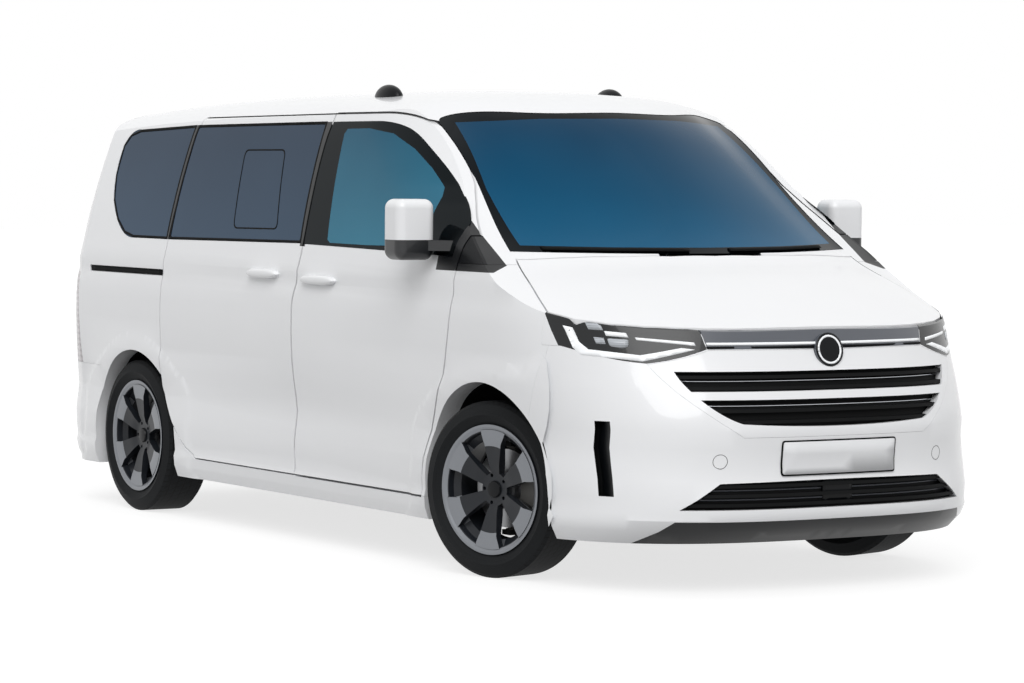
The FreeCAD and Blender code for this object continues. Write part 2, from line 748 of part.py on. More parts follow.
# The closed body form with its four raised wheel arches, and the hollow inside it
skin_out = envelope(-flare_depth, -flare_depth, 0.0, 0.0)
flares = [
    flare(x, radius, sign).common(skin_out)
    for x, radius in ((front_arch_x, front_arch_radius), (rear_arch_x, rear_arch_radius))
    for sign in (-1, 1)
]
outer = envelope(0.0, 0.0, 0.0, 0.0).fuse(flares)
inner = envelope(side_wall, upper_wall, roof_wall, bumper_wall)
pane_top = tube(glass_recess, glass_recess, glass_recess)
pane_bottom_depth = glass_recess + glass_thickness
pane_bottom = tube(pane_bottom_depth, pane_bottom_depth, pane_bottom_depth)
grille_seat = tube(grille_recess, grille_recess, grille_recess)
slat_face = tube(grille_recess - slat_depth, grille_recess - slat_depth, grille_recess - slat_depth)
grille_core = tube(bumper_wall, bumper_wall, bumper_wall)
trim_seat = tube(trim_depth, trim_depth, trim_depth)


def arch_cut(x, radius):
    """The round wheel opening, open at the bottom, through both sides."""
    y0, y1 = -half_width - overrun, half_width + overrun
    return cylinder_y(radius, x, y0, y1, arch_centre_height).fuse(
        block(x - radius, x + radius, y0, y1, 0, arch_centre_height))


front_arch = arch_cut(front_arch_x, front_arch_radius)
rear_arch = arch_cut(rear_arch_x, rear_arch_radius)


def body_wall(region, *cuts):
    """The part of the body wall that fills a region, less the spaces of its neighbours."""
    piece = region.common(outer).cut(inner)
    for cut in cuts:
        piece = piece.cut(cut)
    return solids_only(piece)


def both(make):
    """The regions made for the right side and for the left."""
    return Part.makeCompound([make(-1), make(1)])


def lamp_prism(sign, amount):
    """The headlamp's outline on one side, as a prism."""
    return end_prism([[(sign * a, b) for a, b in run] for run in headlamp_shares], 1, amount, lamp_rear_x - amount)


# Space taken out of the neighbours for the bonnet, the lamps and the panels between them
bonnet_top_z = roof_height * 3 / 4
bonnet_space = plan_prism(bonnet_outline(panel_gap, bonnet_front_gap - panel_gap), roof_height / 3, bonnet_top_z).cut(
    below_top(panel_skin + panel_gap, 0.0))
lamp_space = both(lambda sign: lamp_prism(sign, seam_gap))
band_space = end_prism(light_band_shares, 1, seam_gap)
surround_space = end_prism(surround_shares, 1, seam_gap)
boss_tilt = math.radians(boss_tilt_angle)
boss_axis = V(math.cos(boss_tilt), 0, math.sin(boss_tilt))
boss_seat = V(nose_point(0, boss_height, 0), 0, boss_height) - boss_axis * bumper_wall


def boss_cylinder(radius, stand):
    """The round boss in the middle of the light band, square to the sloping nose."""
    return Part.makeCylinder(radius, bumper_wall + stand, boss_seat, boss_axis)


boss_space = boss_cylinder(boss_radius + seam_gap, overrun / 2)

# Front panels
bumper_region = side_prism(front_bumper_shares, -1, 0.0, 0.0, half_width / 4)
bumper_region = bumper_region.fuse(block(
    nose_start_x * 6 / 5, half_length + overrun, -half_width / 4, 0, 0, lamp_line_height))
slot_box = block(nose_start_x, half_length, -slot_outer, -slot_inner, slot_height_low, slot_height_high)
lower_grille_hole = end_prism(lower_grille_shares, 1)
right_half = block(-half_length - overrun, half_length + overrun, -2 * half_width, 0, 0, roof_height + overrun)
bumper_region = bumper_region.cut([lamp_space, band_space, surround_space, boss_space, lower_grille_hole, front_arch])
front_bumper_right = body_wall(bumper_region, bonnet_space, slot_box)
front_bumper = front_bumper_right.fuse(mirrored(front_bumper_right)).removeSplitter()
divider = block(nose_start_x, half_length, -half_width, half_width, divider_low, divider_high)
grille_hole = end_prism(grille_shares, 1).cut(divider)
surround_region = end_prism(surround_shares, 1).cut([grille_hole, boss_space])
grille_surround = body_wall(surround_region)
headlamp = body_wall(lamp_prism(-1, 0.0), bonnet_space)
light_band = body_wall(end_prism(light_band_shares, 1), bonnet_space).fuse(boss_cylinder(boss_radius, boss_stand))


def slats(prism, low, high, count):
    """A recessed back panel with level slats standing forward of it, trimmed to the grille opening."""
    pitch = (high - low) / count
    bars = []
    for i in range(count):
        z = low + (i + 0.5) * pitch
        bars.append(block(nose_start_x, half_length, -half_width, half_width, z - slat_thickness / 2,
                          z + slat_thickness / 2))
    bars = prism.common(Part.makeCompound(bars)).common(slat_face)
    return prism.common(grille_seat).fuse(bars).cut(grille_core)


upper_grille_low = grille_shares[1][1][1] * roof_height
upper_grille_high = grille_shares[0][0][1] * roof_height
lower_grille_low = lower_grille_shares[0][0][1] * roof_height
lower_grille_high = lower_grille_shares[1][1][1] * roof_height
upper_slats = slats(grille_hole, upper_grille_low, upper_grille_high, 5)
lower_slats = slats(lower_grille_hole, lower_grille_low, lower_grille_high, 3)
slot_back = slot_box.common(grille_seat).cut(grille_core)
bonnet = plan_prism(bonnet_outline(0.0), roof_height / 3, bonnet_top_z).common(outer).cut(below_top(panel_skin, 0.0))
cowl_strip = plan_prism(bonnet_outline(-panel_gap), roof_height / 3, bonnet_top_z).common(
    block(cowl_x - cowl_reach * 2, cowl_x + cowl_reach, -cowl_half, cowl_half, 0, roof_height))
cowl_panel = cowl_strip.common(below_top(cowl_depth, cowl_depth)).cut(
    below_top(cowl_depth + panel_skin / 2, cowl_depth + panel_skin / 2))

# Windscreen, set flush into its frame
top_seat = below_top(pane_bottom_depth, glass_recess)
screen_hole = end_prism(windscreen_shares, 1, -frame_width, 0.0)
windscreen = end_prism(windscreen_shares, 1, 0.0, 0.0).common(below_top(glass_recess, glass_recess)).cut(top_seat)
screen_space = end_prism(windscreen_shares, 1, pane_clearance, 0.0)
screen_rebate = screen_space.cut(top_seat)

# Tail
tailgate_prism = end_prism(tailgate_shares, -1, 0.0, tailgate_hinge_x)
tailgate_space = end_prism(tailgate_shares, -1, door_gap, tailgate_hinge_x + door_gap)
tailgate_hole = end_prism(tailgate_window_shares, -1, -frame_width)
tailgate_rebate = end_prism(tailgate_window_shares, -1, pane_clearance).cut(pane_bottom)
tailgate = body_wall(tailgate_prism.cut(tailgate_hole), tailgate_rebate)
tailgate_pane = end_prism(tailgate_window_shares, -1).common(pane_top).cut(pane_bottom)
lamp_inner = block(-half_length - overrun, -half_length / 2, -lamp_inner_width, 0, 0, roof_height)
tail_lamp = body_wall(side_prism(tail_lamp_shares, -1).cut([lamp_inner, tailgate_space]))
tail_lamp_space = side_prism(tail_lamp_shares, -1, seam_gap).cut(lamp_inner)
rear_bumper_region = side_prism(rear_bumper_shares, -1, 0.0, 0.0, half_width / 4).fuse(
    block(-half_length - overrun, tailgate_hinge_x, -half_width / 4, 0, 0, bumper_top_height)).cut(rear_arch)
rear_bumper_space = side_prism(rear_bumper_shares, -1, seam_gap, 0.0, half_width / 4).fuse(
    block(-half_length - overrun, tailgate_hinge_x, -half_width / 4, 0, 0, bumper_top_height + seam_gap))
rear_bumper_right = body_wall(rear_bumper_region)
rear_bumper = rear_bumper_right.fuse(mirrored(rear_bumper_right)).removeSplitter()


def framed(panel, window_runs):
    """A panel with the rebate that its pane sits in; the opening is already cut."""
    return panel.cut(side_prism(window_runs, -1, pane_clearance).cut(pane_bottom))


def side_pane(window_runs):
    """A pane that follows the body side."""
    return side_prism(window_runs, -1).common(pane_top).cut(pane_bottom)


def door_leaf(runs, window_hole):
    """A door from its outline, as thick as the side wall; the pillars and the roof rail pass inboard of it."""
    region = side_prism(runs, -1, 0.0, door_slant_share).cut(window_hole)
    return solids_only(region.common(outer).cut(side_core))


side_core = tube(side_wall, upper_wall, bumper_wall)
door_back = tube(side_wall + door_gap, upper_wall + door_gap, bumper_wall + door_gap)
# The right side; the left side is its mirror image
front_window_hole = side_prism(front_window_shares, -1, -frame_width)
sliding_window_hole = side_prism(sliding_window_shares, -1, -frame_width)
quarter_window_hole = side_prism(quarter_window_shares, -1, -frame_width)
front_door = framed(door_leaf(front_door_shares, front_window_hole), front_window_shares).cut(
    end_prism(windscreen_shares, 1, joint_clearance, 0.0))
sliding_door = framed(door_leaf(sliding_door_shares, sliding_window_hole), sliding_window_shares)
front_pane = side_pane(front_window_shares).cut(
    side_prism(sliding_door_shares, -1, door_gap, door_slant_share))
sliding_pane = side_pane(sliding_window_shares)
quarter_pane = side_pane(quarter_window_shares)
door_space = side_prism(front_door_shares, -1, door_gap, door_slant_share).cut(door_back)
slide_space = side_prism(sliding_door_shares, -1, panel_gap, door_slant_share).cut(door_back)
pillar_trim = side_prism(pillar_trim_shares, -1).cut(door_space).common(outer).cut(trim_seat)
trim_space = side_prism(pillar_trim_shares, -1, pane_clearance).cut(trim_seat)
fender_region = side_prism(fender_shares, -1, 0.0, 0.0, half_width / 4).cut(
    [door_space, lamp_space, side_prism(front_bumper_shares, -1, seam_gap, 0.0, half_width / 4), surround_space,
     band_space, screen_space, front_arch])
fender = body_wall(fender_region, bonnet_space, trim_space)
roof_split_box = block(-half_length - overrun, nose_start_x, -roof_split, roof_split, glass_top_height / 2,
                       roof_height + overrun)
side_region = block(-half_length - overrun, nose_start_x + seam_gap, -2 * half_width, 0, 0, roof_height + overrun).cut(
    [door_space, slide_space, side_prism(fender_shares, -1, seam_gap, 0.0, half_width / 4), screen_hole,
     tailgate_space, tail_lamp_space, rear_bumper_space, roof_split_box, quarter_window_hole, front_arch, rear_arch])
side_panel = framed(body_wall(side_region, screen_rebate, trim_space, bonnet_space), quarter_window_shares)
side_panel = framed(side_panel, sliding_window_shares)
roof_panel = body_wall(roof_split_box.cut([screen_hole, tailgate_space]), screen_rebate)

# Wheels: built with the wheel's middle at the origin and its outer face towards -Y, then placed
wheel_outer_y = wheel_track / 2 + wheel_inset
side_wheel_y = wheel_track / 2


def turned(profile):
    """A piece turned about the wheel's axle from points of distance along the axle and radius."""
    points = [V(0, along, radius) for along, radius in profile]
    return polygon_face(points).revolve(V(0, 0, 0), V(0, 1, 0), 360)


def tyre():
    """A low tyre: bead seats, bulged sidewalls, rounded shoulders and a flat tread."""
    half = tyre_width / 2
    tread = half * tread_share
    bulge_radius = (tyre_radius + bead_radius) / 2
    shoulder_radius = tyre_radius - shoulder_drop
    bead = rim_width / 2 - flange_width
    profile = [
        (-bead, bead_radius), (-bead, rim_radius), (-half, bulge_radius), (-half + shoulder_drop, shoulder_radius),
        (-tread, tyre_radius), (tread, tyre_radius), (half - shoulder_drop, shoulder_radius), (half, bulge_radius),
        (bead, rim_radius), (bead, bead_radius),
    ]
    return turned(profile)


def rim_barrel():
    """The rim: outer flanges, bead seats and a deep well, as one turned wall."""
    w = rim_width / 2
    f = flange_width
    lip = rim_radius - flange_drop
    profile = [
        (-w, rim_radius), (-w + f, rim_radius), (-w + f, bead_radius), (-w * 0.62, bead_radius - rim_wall / 4),
        (-w * 0.48, well_radius), (w * 0.30, well_radius), (w * 0.52, bead_radius - rim_wall / 4),
        (w - f, bead_radius), (w - f, rim_radius), (w, rim_radius), (w, lip), (w * 0.86, bead_radius - rim_wall),
        (w * 0.56, bead_radius - rim_wall * 1.3), (w * 0.34, well_radius - rim_wall),
        (-w * 0.50, well_radius - rim_wall), (-w * 0.66, bead_radius - rim_wall * 1.3),
        (-w * 0.90, bead_radius - rim_wall), (-w, lip),
    ]
    return turned(profile)


def spokes():
    """Six dished blades that widen from the hub to the rim, cut from one turned plate."""
    face = -rim_width / 2 + face_set_back
    reach = bead_radius - rim_wall / 2
    plate = turned([
        (face + hub_dish, 0), (face + hub_dish, hub_radius * 0.9), (face + hub_dish * 0.55, hub_radius * 1.5),
        (face + hub_dish * 0.15, reach * 0.72), (face, reach * 0.82), (face, reach),
        (face + spoke_thickness, reach), (face + spoke_thickness * 1.3, reach * 0.80),
        (face + hub_dish + spoke_thickness, hub_radius * 1.6), (mounting_face_y, hub_radius), (mounting_face_y, 0),
    ])
    blades = []
    for i in range(spoke_count):
        blade = polygon_face([
            V(-spoke_root_half, -rim_width, hub_radius / 2), V(spoke_root_half, -rim_width, hub_radius / 2),
            V(spoke_waist_half, -rim_width, reach * 0.76), V(spoke_tip_half, -rim_width, reach),
            V(spoke_tip_half, -rim_width, reach + rim_wall), V(-spoke_tip_half, -rim_width, reach + rim_wall),
            V(-spoke_tip_half, -rim_width, reach), V(-spoke_waist_half, -rim_width, reach * 0.76),
        ]).extrude(V(0, 2 * rim_width, 0))
        blade.rotate(V(0, 0, 0), V(0, 1, 0), i * 360 / spoke_count + spoke_phase)
        blades.append(blade)
    hub = Part.makeCylinder(hub_radius, 2 * rim_width, V(0, -rim_width, 0), V(0, 1, 0))
    return plate.common(hub.fuse(blades))


def wheel():
    """The cast wheel with its bolt holes and the bore for the hub's spigot."""
    body = rim_barrel().fuse(spokes())
    cuts = [Part.makeCylinder(spigot_radius, rim_width, V(0, mounting_face_y - spigot_depth, 0), V(0, 1, 0))]
    for i in range(bolt_count):
        angle = 2 * math.pi * (i + 0.5) / bolt_count
        place = V(bolt_circle_radius * math.cos(angle), -rim_width, bolt_circle_radius * math.sin(angle))
        cuts.append(Part.makeCylinder(bolt_hole_radius, 2 * rim_width, place, V(0, 1, 0)))
    return body.cut(cuts)


def brake_disc():
    """A vented disc with its top-hat centre, bolted behind the wheel's mounting face."""
    hat_top = mounting_face_y
    disc_face = hat_top + hat_depth
    profile = [
        (hat_top, 0), (hat_top, hat_radius), (disc_face, hat_radius), (disc_face, disc_radius),
        (disc_face + disc_thickness, disc_radius), (disc_face + disc_thickness, hat_radius - hat_wall),
        (hat_top + hat_wall, hat_radius - hat_wall), (hat_top + hat_wall, 0),
    ]
    disc = turned(profile)
    spigot = Part.makeCylinder(spigot_radius, spigot_depth - pane_clearance,
                               V(0, mounting_face_y - spigot_depth + pane_clearance, 0), V(0, 1, 0))
    return disc.fuse(spigot)


def caliper(sign_x):
    """A floating caliper that bridges the disc's edge."""
    inner_face = mounting_face_y + hat_depth - caliper_wall - caliper_gap
    span = disc_thickness + 2 * (caliper_wall + caliper_gap)
    r0, r1 = disc_radius * 0.66, disc_radius + caliper_wall
    ring = Part.makeCylinder(r1, span, V(0, inner_face, 0), V(0, 1, 0)).cut(
        Part.makeCylinder(r0, span, V(0, inner_face, 0), V(0, 1, 0)))
    sector = polygon_face([
        V(0, inner_face, 0), V(sign_x * r1 * 2, inner_face, r1 * 0.75), V(sign_x * r1 * 2, inner_face, -r1 * 0.75),
    ]).extrude(V(0, span, 0))
    slot = Part.makeCylinder(disc_radius + caliper_gap, disc_thickness + 2 * caliper_gap,
                             V(0, inner_face + caliper_wall, 0), V(0, 1, 0))
    return ring.common(sector).cut(slot)


hub_back_y = mounting_face_y + hat_wall + bearing_gap
housing_y0 = mounting_face_y + hat_depth + disc_thickness + caliper_gap


def knuckle():
    """The front upright: bearing housing, trunnion pins above and below on the kingpin line, and caliper arm."""
    pin_y = kingpin_inset
    housing = Part.makeCylinder(housing_radius, pin_y + pin_radius - hub_back_y, V(0, hub_back_y, 0), V(0, 1, 0))
    post = block(-pin_radius, pin_radius, pin_y - pin_radius, pin_y + pin_radius, -trunnion_reach, trunnion_reach)
    pins = Part.makeCylinder(pin_radius * 0.6, 2 * trunnion_reach + 2 * yoke_thickness,
                             V(0, pin_y, -trunnion_reach - yoke_thickness), V(0, 0, 1))
    outer_face = mounting_face_y + hat_depth + disc_thickness + caliper_gap
    arm = block(0, disc_radius, outer_face, outer_face + caliper_wall, -pin_radius * 1.6, pin_radius * 1.6)
    arm = arm.cut(Part.makeCylinder(housing_radius * 0.8, rim_width, V(0, hub_back_y, 0), V(0, 1, 0)))
    steering_arm = block(-steering_arm_length, 0, pin_y, pin_y + pin_radius, -trunnion_reach * 0.5,
                         -trunnion_reach * 0.5 + arm_thickness)
    sweep = Part.makeCylinder(disc_radius + caliper_gap, outer_face + rim_width, V(0, -rim_width, 0), V(0, 1, 0))
    upright = post.fuse([pins, steering_arm]).cut(sweep)
    return housing.fuse([upright, arm, caliper(1)])


def placed(shape, axle_x, sign, steered=False):
    """Sets a wheel-side piece at its axle; the left side is the mirror image of the right."""
    piece = shape.copy()
    piece.translate(V(axle_x, -side_wheel_y, tyre_radius))
    if sign > 0:
        piece = mirrored(piece)
    if steered:
        piece.rotate(V(axle_x, sign * kingpin_y, 0), V(0, 0, 1), steer_angle_at_rest)
    return piece


kingpin_y = side_wheel_y - kingpin_inset
tyre_shape, wheel_shape, disc_shape, knuckle_shape = tyre(), wheel(), brake_disc(), knuckle()
for side, sign in (("left", 1), ("right", -1)):
    for end, axle_x, steered in (("front", front_axle_x, True), ("rear", rear_axle_x, False)):
        save("tyre_" + end + "_" + side, placed(tyre_shape, axle_x, sign, steered))
        save("wheel_" + end + "_" + side, placed(wheel_shape, axle_x, sign, steered))
        save("brake_disc_" + end + "_" + side, placed(disc_shape, axle_x, sign, steered))
    save("knuckle_" + side, placed(knuckle_shape, front_axle_x, sign, True))


def yoke():
    """The fork that holds the knuckle's pins, inboard of the tyre's sweep, with the strut seat on top."""
    back_y = -side_wheel_y + kingpin_inset + yoke_set_back
    pin_line = -kingpin_y
    prongs = []
    for sign_z in (-1, 1):
        z = tyre_radius + sign_z * (trunnion_reach + yoke_thickness / 2 + pin_gap)
        prong = block(-yoke_half, yoke_half, pin_line - yoke_half, back_y + yoke_thickness, z - yoke_thickness / 2,
                      z + yoke_thickness / 2)
        hole = Part.makeCylinder(pin_radius * 0.6 + pin_gap, overrun, V(0, pin_line, z - overrun / 2), V(0, 0, 1))
        prongs.append(prong.cut(hole))
    reach = trunnion_reach + yoke_thickness + pin_gap
    back = block(-yoke_half, yoke_half, back_y, back_y + yoke_thickness, tyre_radius - reach, tyre_radius + reach)
    return back.fuse(prongs)


def front_suspension():
    """Subframe, lower arms, yokes and struts, joined as one carried frame."""
    back_y = -side_wheel_y + kingpin_inset + yoke_set_back
    arm_y = back_y + yoke_thickness
    rail = block(-subframe_length / 2, subframe_length / 2, -subframe_half, 0, subframe_low, subframe_low + beam_depth)
    arm = polygon_face([
        V(-arm_spread, -subframe_half, subframe_low), V(-yoke_half, back_y, subframe_low),
        V(yoke_half, back_y, subframe_low), V(arm_spread, -subframe_half, subframe_low),
        V(arm_spread / 2, -subframe_half + beam_depth, subframe_low),
        V(-arm_spread / 2, -subframe_half + beam_depth, subframe_low),
    ]).extrude(V(0, 0, arm_thickness))
    top = V(0, -strut_top_y, strut_top_z)
    foot = V(0, -strut_foot_y, tyre_radius + trunnion_reach)
    lean = top - foot
    tube_part = Part.makeCylinder(strut_radius, lean.Length, foot, lean)
    spring = Part.makeCylinder(spring_radius, lean.Length * 0.45, foot + lean * 0.55, lean)
    wall_y = level_at(strut_top_z)[1] * half_width - side_wall - pin_gap
    plate = block(-spring_radius, spring_radius, -wall_y, -strut_top_y + spring_radius,
                  strut_top_z - arm_thickness / 2, strut_top_z + arm_thickness / 2)
    right = rail.fuse([arm, yoke(), tube_part, spring, plate])
    whole = right.fuse(mirrored(right))
    whole.translate(V(front_axle_x, 0, 0))
    return whole


def rear_axle():
    """Trailing arms on a twist beam, with stub axles, coil springs, dampers and the fixed calipers."""
    hub_end = -side_wheel_y + mounting_face_y + hat_wall + bearing_gap
    arm_y = -side_wheel_y + tyre_width / 2 + arm_gap
    arm_top = floor_under - joint_clearance
    stub = Part.makeCylinder(housing_radius * 0.8, arm_y + arm_width / 2 - hub_end, V(0, hub_end, tyre_radius),
                             V(0, 1, 0))
    arm = polygon_face([
        V(-arm_length_behind, arm_y, arm_low), V(arm_length_behind, arm_y, arm_low),
        V(trailing_length, arm_y, floor_under - arm_length_behind), V(trailing_length, arm_y, floor_under),
        V(trailing_length - arm_length_behind, arm_y, floor_under),
        V(arm_length_behind, arm_y, arm_top), V(-arm_length_behind, arm_y, arm_top),
    ]).extrude(V(0, arm_width, 0))
    beam = block(beam_lead, beam_lead + beam_width, arm_y, 0, beam_low, beam_low + beam_height)
    pan = block(-spring_seat_half, spring_seat_half, arm_y, -spring_y + spring_seat_half, arm_low,
                arm_low + arm_thickness)
    spring = Part.makeCylinder(spring_radius * 0.8, floor_under - arm_low - arm_thickness,
                               V(0, -spring_y, arm_low + arm_thickness), V(0, 0, 1))
    brake = caliper(1)
    brake.translate(V(0, -side_wheel_y, tyre_radius))
    face = -side_wheel_y + mounting_face_y + hat_depth + disc_thickness + caliper_gap
    bracket = block(0, disc_radius * 0.9, face, face + caliper_wall, tyre_radius - pin_radius,
                    tyre_radius + pin_radius)
    right = stub.fuse([arm, beam, pan, spring, brake, bracket])
    whole = right.fuse(mirrored(right))
    whole.translate(V(rear_axle_x, 0, 0))
    return whole


suspension = front_suspension()
save("front_suspension", suspension)
save("rear_axle", rear_axle())

# Floor, bulkhead and wheel arch liners
liner_outer_y = half_width - side_wall - liner_inset


def wheelhouse(x, radius, inner_y, amount):
    """The space of one wheel arch inside the body, grown by the amount."""
    depth = half_width - inner_y + amount
    return cylinder_y(radius + amount, x, -half_width, -half_width + depth, arch_centre_height).fuse(
        block(x - radius - amount, x + radius + amount, -half_width, -half_width + depth, 0, arch_centre_height))


def both_sides(right):
    """A piece and its mirror image as one compound."""
    return Part.makeCompound(right.Solids + mirrored(right).Solids)


def liner(x, radius, inner_y, opening):
    """A thin arched shell over the wheel, with a wall on its inner side."""
    outside = wheelhouse(x, radius, inner_y, liner_wall)
    trim = block(x - 2 * radius, x + 2 * radius, -half_width, -liner_outer_y, 0, roof_height)
    below = block(x - 2 * radius, x + 2 * radius, -half_width, 0, -roof_height, liner_bottom)
    inside = wheelhouse(x, radius, inner_y, 0)
    return outside.cut([inside, trim, below, opening])


front_opening = block(front_axle_x - strut_opening, front_axle_x + strut_opening, -half_width, 0, 0,
                      arch_centre_height + front_arch_radius / 2)
front_opening = front_opening.fuse(Part.makeCylinder(
    spring_radius + joint_clearance * 2, roof_height, V(front_axle_x, -strut_top_y, 0), V(0, 0, 1)))
rear_opening = block(rear_axle_x - strut_opening, rear_axle_x + trailing_length, -half_width, 0, 0, floor_under)
front_liner = liner(front_arch_x, front_arch_radius, front_house_y, front_opening)
rear_liner = liner(rear_arch_x, rear_arch_radius, rear_house_y, rear_opening)
houses = [
    both_sides(wheelhouse(front_arch_x, front_arch_radius, front_house_y, liner_wall)),
    both_sides(wheelhouse(rear_arch_x, rear_arch_radius, rear_house_y, liner_wall)),
]
floor_slab = block(-half_length, floor_front_x, -half_width, half_width, floor_height - floor_thickness, floor_height)
bulkhead_face = outline_face(bulkhead_shares, (half_length, roof_height), 0.0, lambda x, z: V(x, -half_width, z))
bulkhead = bulkhead_face.extrude(V(0, 2 * half_width, 0))
floor_pan = floor_slab.fuse(bulkhead).common(inner).common(door_back).cut(houses + [suspension])
liners = front_liner.fuse(rear_liner).common(inner).cut(suspension)
wheel_arch_liners = solids_only(both_sides(liners))

# Sills close the doors' lower edges and meet the floor
sill = block(sill_rear_x, sill_front_x, -half_width + sill_inset, -half_width + side_wall + sill_depth, sill_bottom,
             floor_height)
sill = sill.common(inner).cut(floor_pan)
post_slab = inner.common(block(pillar_line_x - post_half, pillar_line_x + post_half, -half_width, -roof_split,
                               floor_under, roof_height))
post_front, post_back = post_slab.copy(), post_slab.copy()
post_front.translate(V(0, door_gap, 0))
post_back.translate(V(0, door_gap + post_depth, 0))
post = post_front.cut(post_back).cut(floor_slab)
post_head = block(pillar_line_x - post_half, pillar_line_x + post_half, -half_width, -roof_split, door_top_height
                  + 2 * door_gap, roof_height).common(outer).cut(post_back)
side_panel_whole = side_panel.fuse([sill, post, post_head])

# Dashboard, steering wheel and seats
dash_face = outline_face(dashboard_shares, (half_length, roof_height), 0.0, lambda x, z: V(x, -half_width, z))
dashboard = dash_face.extrude(V(0, 2 * half_width, 0)).common(inner).common(
    block(0, half_length, -dashboard_half, dashboard_half, 0, roof_height)).cut(floor_pan)
column_axis = V(math.cos(math.radians(column_angle)), 0, -math.sin(math.radians(column_angle)))
wheel_centre = V(steering_wheel_x, driver_y, steering_wheel_z)
steering_rim = Part.makeTorus(steering_wheel_radius, steering_rim_radius, wheel_centre, column_axis)
column = Part.makeCylinder(column_radius, column_length, wheel_centre, column_axis)
steering_boss = Part.makeCylinder(column_radius * 2, steering_rim_radius * 2,
                                  wheel_centre - column_axis * steering_rim_radius, column_axis)
steering_spokes = block(-steering_rim_radius / 2, steering_rim_radius / 2, -steering_wheel_radius,
                        steering_wheel_radius, -steering_rim_radius, steering_rim_radius)
steering_spokes.rotate(V(0, 0, 0), V(0, 1, 0), column_angle)
steering_spokes.translate(wheel_centre)
steering_wheel = steering_rim.fuse([column, steering_boss, steering_spokes]).cut(dashboard)
steering_wheel = max(steering_wheel.Solids, key=solid_volume)


def seat(rear_x, middle_y, width, base_z):
    """A seat as one closed form: pedestal, cushion, reclined back and head restraint."""
    half = width / 2
    side = [
        (0, 0), (seat_depth * 0.85, 0), (seat_depth * 0.85, pedestal_height), (seat_depth, pedestal_height),
        (seat_depth, cushion_top), (back_thickness, cushion_top - back_thickness * 0.1),
        (-back_lean + back_thickness * 0.75, back_top), (-back_lean, back_top),
        (-back_thickness * 0.3, pedestal_height), (0, pedestal_height),
    ]
    body = polygon_face([V(rear_x + x, middle_y - half, base_z + z) for x, z in side]).extrude(V(0, width, 0))
    rest_x = rear_x - back_lean + back_thickness * 0.1
    rest = block(rest_x, rest_x + back_thickness * 0.65, middle_y - rest_half, middle_y + rest_half,
                 base_z + back_top, base_z + rest_top)
    return body.fuse(rest)


front_seats = both_sides(seat(front_seat_x, -driver_y, seat_width, floor_height))
middle_seats = both_sides(seat(middle_seat_x, -driver_y, seat_width, floor_height))
bench_half = seat(rear_seat_x, -driver_y, seat_width, floor_height)
bench_joined = bench_half.fuse([mirrored(bench_half), seat(rear_seat_x, 0, 2 * driver_y - seat_width, floor_height)])

# Roof pods, mirrors and door handles
pod_shape = Part.makeSphere(pod_length / 2)
squash = FreeCAD.Matrix()
squash.scale(1.0, pod_width / pod_length, 2 * pod_rise / pod_length)
pod_shape = pod_shape.transformGeometry(squash)
pod_shape.translate(V(pod_x, -pod_y, pod_seat_z))
roof_pods = both_sides(pod_shape.cut(below_top(0.0, 0.0)))


def mirror_unit():
    """A door mirror: a deep rounded shell on an arm that reaches out from the front of the window."""
    x0, x1 = mirror_x - mirror_depth / 2, mirror_x + mirror_depth / 2
    y0, y1 = -mirror_outer_y, -mirror_inner_y
    head = block(x0, x1, y0, y1, mirror_low_z, mirror_high_z)
    head = head.makeFillet(mirror_round, head.Edges)
    arm = polygon_face([
        V(x0 + mirror_depth * 0.15, -mirror_inner_y - mirror_round, mirror_low_z + mirror_round),
        V(x1, -mirror_inner_y - mirror_round, mirror_low_z + mirror_round),
        V(arm_root_x + arm_root_half, -arm_root_y, mirror_low_z + mirror_round),
        V(arm_root_x - arm_root_half, -arm_root_y, mirror_low_z + mirror_round),
    ]).extrude(V(0, 0, mirror_arm_depth))
    return head.fuse(arm.cut(pane_top))


def handle(start_x, height):
    """A pull handle that stands off the door skin on two feet."""
    skin = half_width * level_at(height)[1]
    bar = polygon_face([
        V(start_x, -skin + handle_stand, height), V(start_x + handle_stand, -skin - handle_stand, height),
        V(start_x + handle_length - handle_stand, -skin - handle_stand, height),
        V(start_x + handle_length, -skin + handle_stand, height),
        V(start_x + handle_length - handle_stand * 0.8, -skin + handle_stand, height),
        V(start_x + handle_length - handle_stand * 1.5, -skin - handle_stand * 0.4, height),
        V(start_x + handle_stand * 1.5, -skin - handle_stand * 0.4, height),
        V(start_x + handle_stand * 0.8, -skin + handle_stand, height),
    ]).extrude(V(0, 0, handle_depth))
    return bar


front_door_whole = front_door.fuse(handle(front_handle_x, front_handle_z))
sliding_door_whole = sliding_door.fuse(handle(slide_handle_x, slide_handle_z))
# The slot that the sliding door's rear roller runs in
rail_slot = block(rail_rear_x, slide_rear_x, -half_width - overrun, -half_width + rail_depth, rail_low_z, rail_high_z)
side_panel_whole = side_panel_whole.cut(rail_slot)

# Underbody pieces
engine_block = block(engine_rear_x, engine_front_x, -engine_half, engine_half, subframe_low + beam_depth, engine_top)
fuel_tank = block(tank_rear_x, tank_front_x, tank_inner_y, tank_outer_y, tank_low_z, floor_height - floor_thickness)
fuel_tank = fuel_tank.makeFillet(tank_round, [e for e in fuel_tank.Edges if e.BoundBox.ZMax < tank_low_z + 1])
pipe = Part.makeCylinder(exhaust_radius, exhaust_length, V(exhaust_rear_x, exhaust_y, exhaust_z), V(1, 0, 0))
silencer = Part.makeCylinder(silencer_radius, silencer_length, V(silencer_x, exhaust_y, exhaust_z), V(1, 0, 0))
hangers = [block(x, x + exhaust_radius, exhaust_y - exhaust_radius / 2, exhaust_y + exhaust_radius / 2, exhaust_z,
                 floor_height - floor_thickness) for x in (silencer_x, silencer_x + silencer_length - exhaust_radius)]
exhaust = pipe.fuse([silencer] + hangers)


